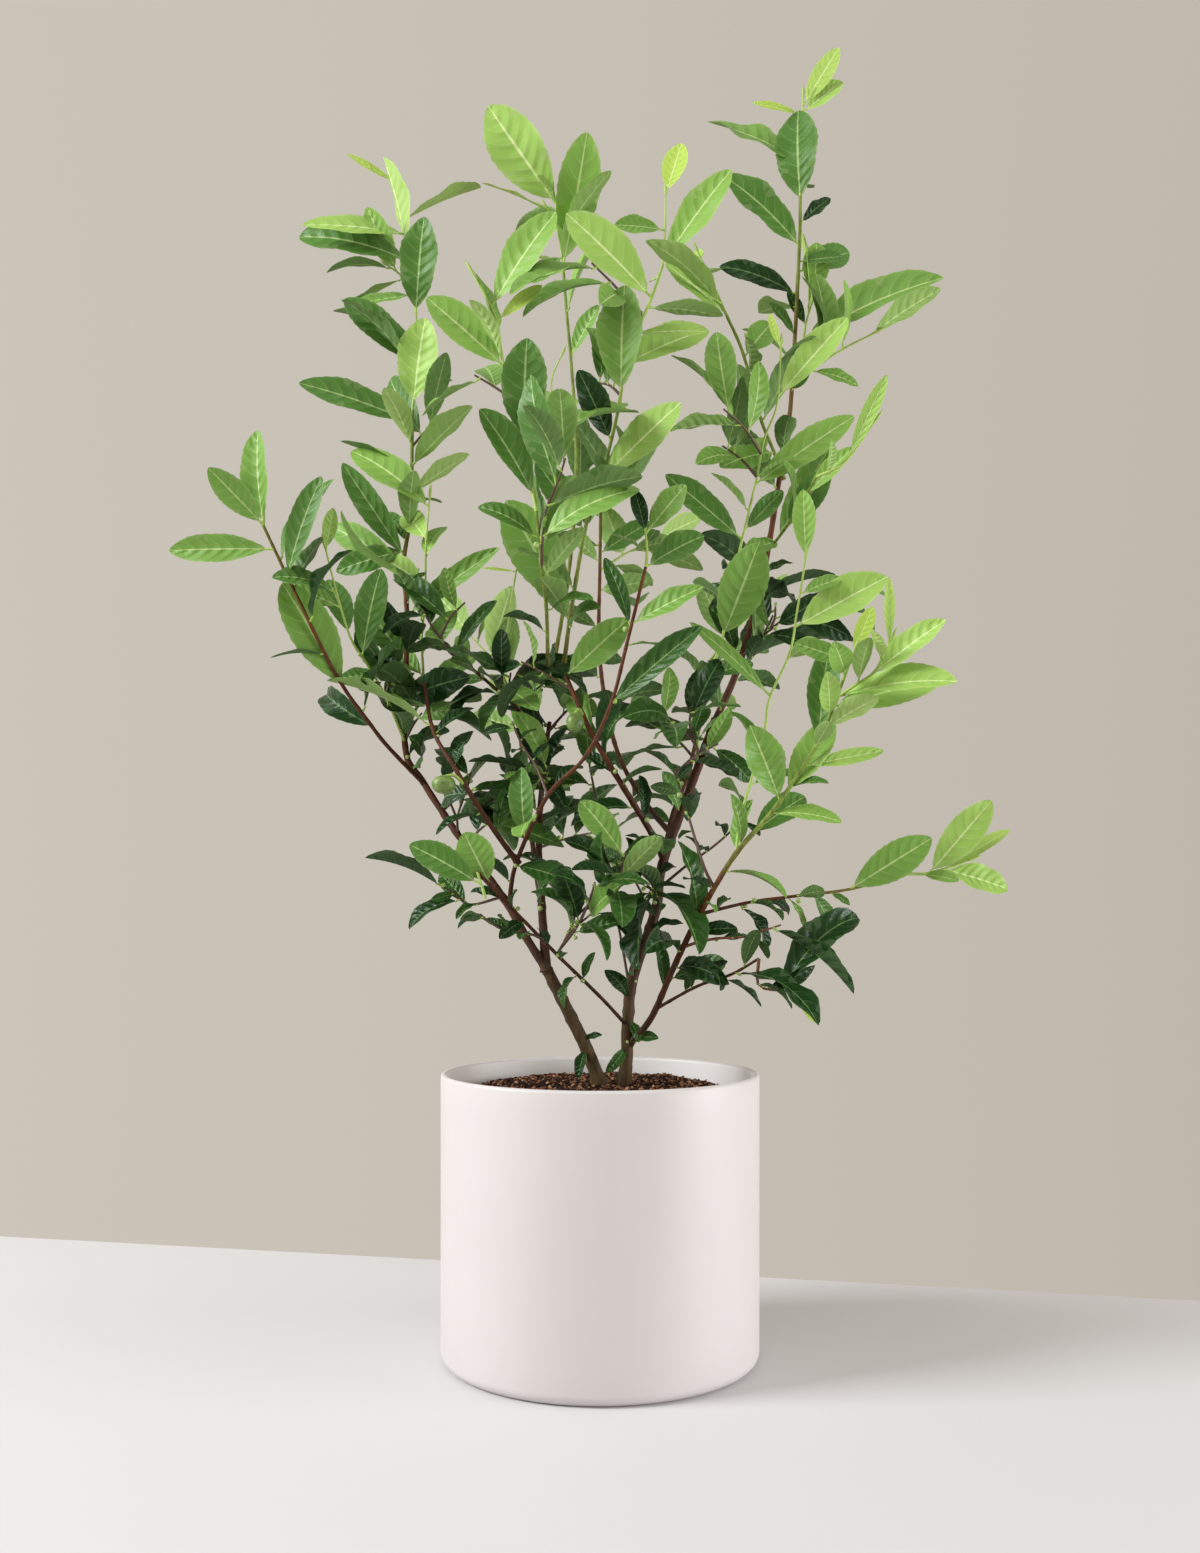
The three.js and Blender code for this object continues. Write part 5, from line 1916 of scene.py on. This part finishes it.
# The next two rows hold one value for each age of leaf, from lime to old.
ROUGHNESS_ABOVE = (0.42, 0.4, 0.34, 0.26)
QUILT_BUMP = (0.32, 0.46, 0.56, 0.66)
ROUGHNESS_BELOW = 0.6
LEAF_TINTS = [
    ((0.41, 0.59, 0.095), (0.72, 0.84, 0.36)),
    ((0.40, 0.60, 0.125), (0.76, 0.86, 0.42)),
    ((0.315, 0.515, 0.105), (0.74, 0.86, 0.42)),
    ((0.215, 0.400, 0.070), (0.63, 0.77, 0.34)),
    ((0.160, 0.320, 0.055), (0.54, 0.68, 0.28)),
    ((0.072, 0.180, 0.027), (0.40, 0.55, 0.21)),
    ((0.028, 0.090, 0.012), (0.24, 0.38, 0.13)),
    ((0.009, 0.040, 0.006), (0.15, 0.27, 0.09)),
]


def vein_turn(u, s):
    """The angle of the ripple that the side veins follow. They curve to the tip near the edge."""
    return (u - s * (0.5 + s * VEIN_CURVE) * VEIN_LEAN) * (2 * math.pi * SIDE_VEINS)


def paint_leaf(number, below):
    """One tone of leaf, above or below: a pale midrib and side veins, and a sheen on old leaves."""
    blade, vein = LEAF_TINTS[number]

    def paint(g):
        spot = g.node("ShaderNodeSeparateXYZ", {}, {0: g.node("ShaderNodeUVMap", {"uv_map": "OFBake"})[0]})
        u = (g.maths("FRACT", spot[0] * TONE_COUNT) - PATCH_INSET) / (1 - 2 * PATCH_INSET)
        s = abs((g.maths("FRACT", spot[1] * 2) - 0.5) / ACROSS_SHARE)
        midrib = g.clamped(1.4 - s / (MIDRIB_BREADTH * (1.15 - u * 0.35)))
        wave = g.cosine(vein_turn(u, s))
        side_vein = g.maths("MAXIMUM", -wave, 0.0) ** VEIN_SHARPNESS * g.clamped(1.15 - s)
        mottle = g.noise(g.object_place(), 28, 3)
        strength = MIDRIB_BELOW if below else MIDRIB_ABOVE
        rim = g.clamped(s * 6 - 5.1)
        leaf_foot = g.clamped((PALE_FOOT - u) * 2.4)
        veined = g.clamped(midrib * strength + side_vein * VEIN_STRENGTH + rim * RIM_STRENGTH + leaf_foot)
        darker = tuple(0.86 * part for part in blade)
        lighter = tuple(min(1, 1.1 * part) for part in blade)
        base = g.mix(mottle, darker, lighter)
        if below:
            base = g.mix(0.3, base, tuple(0.5 * part + 0.05 for part in vein))
        age = number // 2
        rough = ROUGHNESS_BELOW if below else ROUGHNESS_ABOVE[age]
        crinkle = g.noise(g.object_place(), 620, 2)
        height = wave * (-0.5) * g.clamped(1.1 - s) - midrib * 0.1 + mottle * 0.2 + crinkle * 0.35
        return {
            "Base Color": g.mix(veined, base, vein),
            "Roughness": rough + mottle * 0.12,
            "Specular IOR Level": 0.11 if below else 0.21,
            "Normal": g.bumped(height * (-1 if below else 1), QUILT_BUMP[age], 0.0012),
        }
    return paint


LEAF_FINISHES = []
for k in range(TONE_COUNT):
    above = finish_of(f"leaf_{k}_above", paint_leaf(k, False))
    LEAF_FINISHES.append((above, finish_of(f"leaf_{k}_below", paint_leaf(k, True))))
print(len(LEAF_FINISHES), "tones of leaf, above and below")

# %% [markdown]
# The tree bends the blade into an arc, with its foot and tip where the leaf's length says, and turns
# it more and more about its own axis. The two halves fold up from the midrib, the edge waves, and the
# blade puffs up between the veins. Set Position does all of this at once. Then the UV map is stored, and
# each face takes the finish of its tone and side.

# %% Leaf tree
EDGE_WAVES = 14
EDGE_SHIFT = 1.9

g, given = geometry_tree("leaf_growth", [("Object", "Blank"), ("Float", "Thickness"), ("Float", "Quilting")])
blank_shape = g.node("GeometryNodeObjectInfo", {}, {"Object": given["Blank"]})["Geometry"]
sprays = g.node("GeometryNodeInstanceOnPoints", {}, {"Points": given["Geometry"], "Instance": blank_shape})[0]
shape = g.node("GeometryNodeRealizeInstances", {}, {"Geometry": sprays})[0]
blade = g.node("ShaderNodeSeparateXYZ", {}, {0: g.attribute("blade", "FLOAT_VECTOR")})
s, u, side = blade[0], blade[1], blade[2]
seat = g.attribute("seat", "FLOAT_VECTOR")
axis = g.attribute("axis", "FLOAT_VECTOR")
face = g.attribute("face", "FLOAT_VECTOR")
length = g.attribute("length")
bend = g.attribute("bend")
breadth = g.attribute("breadth") * length
reach = g.attribute("reach") * breadth
half_bend = bend * 0.5
arc = length * half_bend / g.sine(half_bend)
start_axis = g.scaled(axis, g.cosine(half_bend)) + g.scaled(face, g.sine(half_bend))
start_face = g.scaled(face, g.cosine(half_bend)) - g.scaled(axis, g.sine(half_bend))
forward = arc * g.sine(bend * u) / bend
drop = arc * (1 - g.cosine(bend * u)) / bend
here_face = g.scaled(start_face, g.cosine(bend * u)) + g.scaled(start_axis, g.sine(bend * u))
across = g.node("ShaderNodeVectorMath", {"operation": "CROSS_PRODUCT"}, {0: start_axis, 1: start_face})[0]
turn = g.attribute("twist") * u
side_way = g.scaled(across, g.cosine(turn)) + g.scaled(here_face, g.sine(turn))
up_way = g.scaled(here_face, g.cosine(turn)) - g.scaled(across, g.sine(turn))
fold = g.attribute("fold")
width_share = abs(s)
edge_turn = u * EDGE_WAVES + g.attribute("phase") + g.maths("SIGN", s) * EDGE_SHIFT
edge_wave = g.sine(edge_turn) * g.attribute("wave") * width_share
puff = 0.5 + 0.5 * g.cosine(vein_turn(u, width_share))
puff = puff * width_share * (1 - width_share)
lift = abs(reach) * g.sine(fold) + breadth * (edge_wave * g.sine(u * math.pi) + puff * given["Quilting"])
lift = lift + side * given["Thickness"]
place = seat + g.scaled(start_axis, forward) - g.scaled(start_face, drop)
place = place + g.scaled(side_way, reach * g.cosine(fold)) + g.scaled(up_way, lift)
shape = g.node("GeometryNodeSetPosition", {}, {"Geometry": shape, "Position": place})[0]
below = g.attribute("below")
tone = g.attribute("tone")
sheet_place = g.node("ShaderNodeCombineXYZ", {}, {
    0: (tone + PATCH_INSET + u * (1 - 2 * PATCH_INSET)) / TONE_COUNT,
    1: (below + 0.5 + s * ACROSS_SHARE) / 2})[0]
shape = g.node("GeometryNodeStoreNamedAttribute", {"data_type": "FLOAT2", "domain": "CORNER"}, {
    "Geometry": shape, "Name": "OFBake", "Value": sheet_place})[0]
shape = g.node("GeometryNodeSetShadeSmooth", {}, {"Geometry": shape})[0]
shape = g.node("GeometryNodeRealizeInstances", {}, {"Geometry": shape})[0]
for number, finishes in enumerate(LEAF_FINISHES):
    for which, finish in enumerate(finishes):
        chosen = g.maths("COMPARE", tone * 2 + below, float(number * 2 + which), 0.4)
        shape = g.node("GeometryNodeSetMaterial", {}, {
            "Geometry": shape, "Selection": chosen, "Material": finish})[0]
g.node("NodeGroupOutput", {}, {"Geometry": shape})
leaf_tree = g.tree
print("leaf tree has", len(leaf_tree.nodes), "nodes")

# %% Leaf pieces
LEAF_THICKNESS = 0.4 * MM
QUILTING = 0.17


def seat_mesh(name, members):
    """One point for each leaf, with the leaf's numbers as attributes."""
    mesh = bpy.data.meshes.new(name + "_seats")
    mesh.from_pydata([tuple(leaf["seat"]) for leaf in members], [], [])
    for label in ("seat", "axis", "face"):
        values = np.array([leaf[label] for leaf in members], np.float32).ravel()
        mesh.attributes.new(label, "FLOAT_VECTOR", "POINT").data.foreach_set("vector", values)
    for label in ("length", "breadth", "bend", "fold", "wave", "phase", "twist", "tone"):
        values = np.array([leaf[label] for leaf in members], np.float32)
        mesh.attributes.new(label, "FLOAT", "POINT").data.foreach_set("value", values)
    return mesh


for key in sorted(groups):
    age_name, part = key
    piece_name = f"leaves_{age_name}_{part}"
    leaf_piece = grown_piece(piece_name, seat_mesh(piece_name, leaf_groups[key]), leaf_tree, {
        "Blank": blank, "Thickness": LEAF_THICKNESS, "Quilting": QUILTING})
    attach(leaf_piece, "root")
    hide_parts(*(mass.name for mass in groups[key]))
bpy.data.objects.remove(blank)

# %% [markdown]
# ## End
#
# The finished model has to fill the same box as the CAD one.
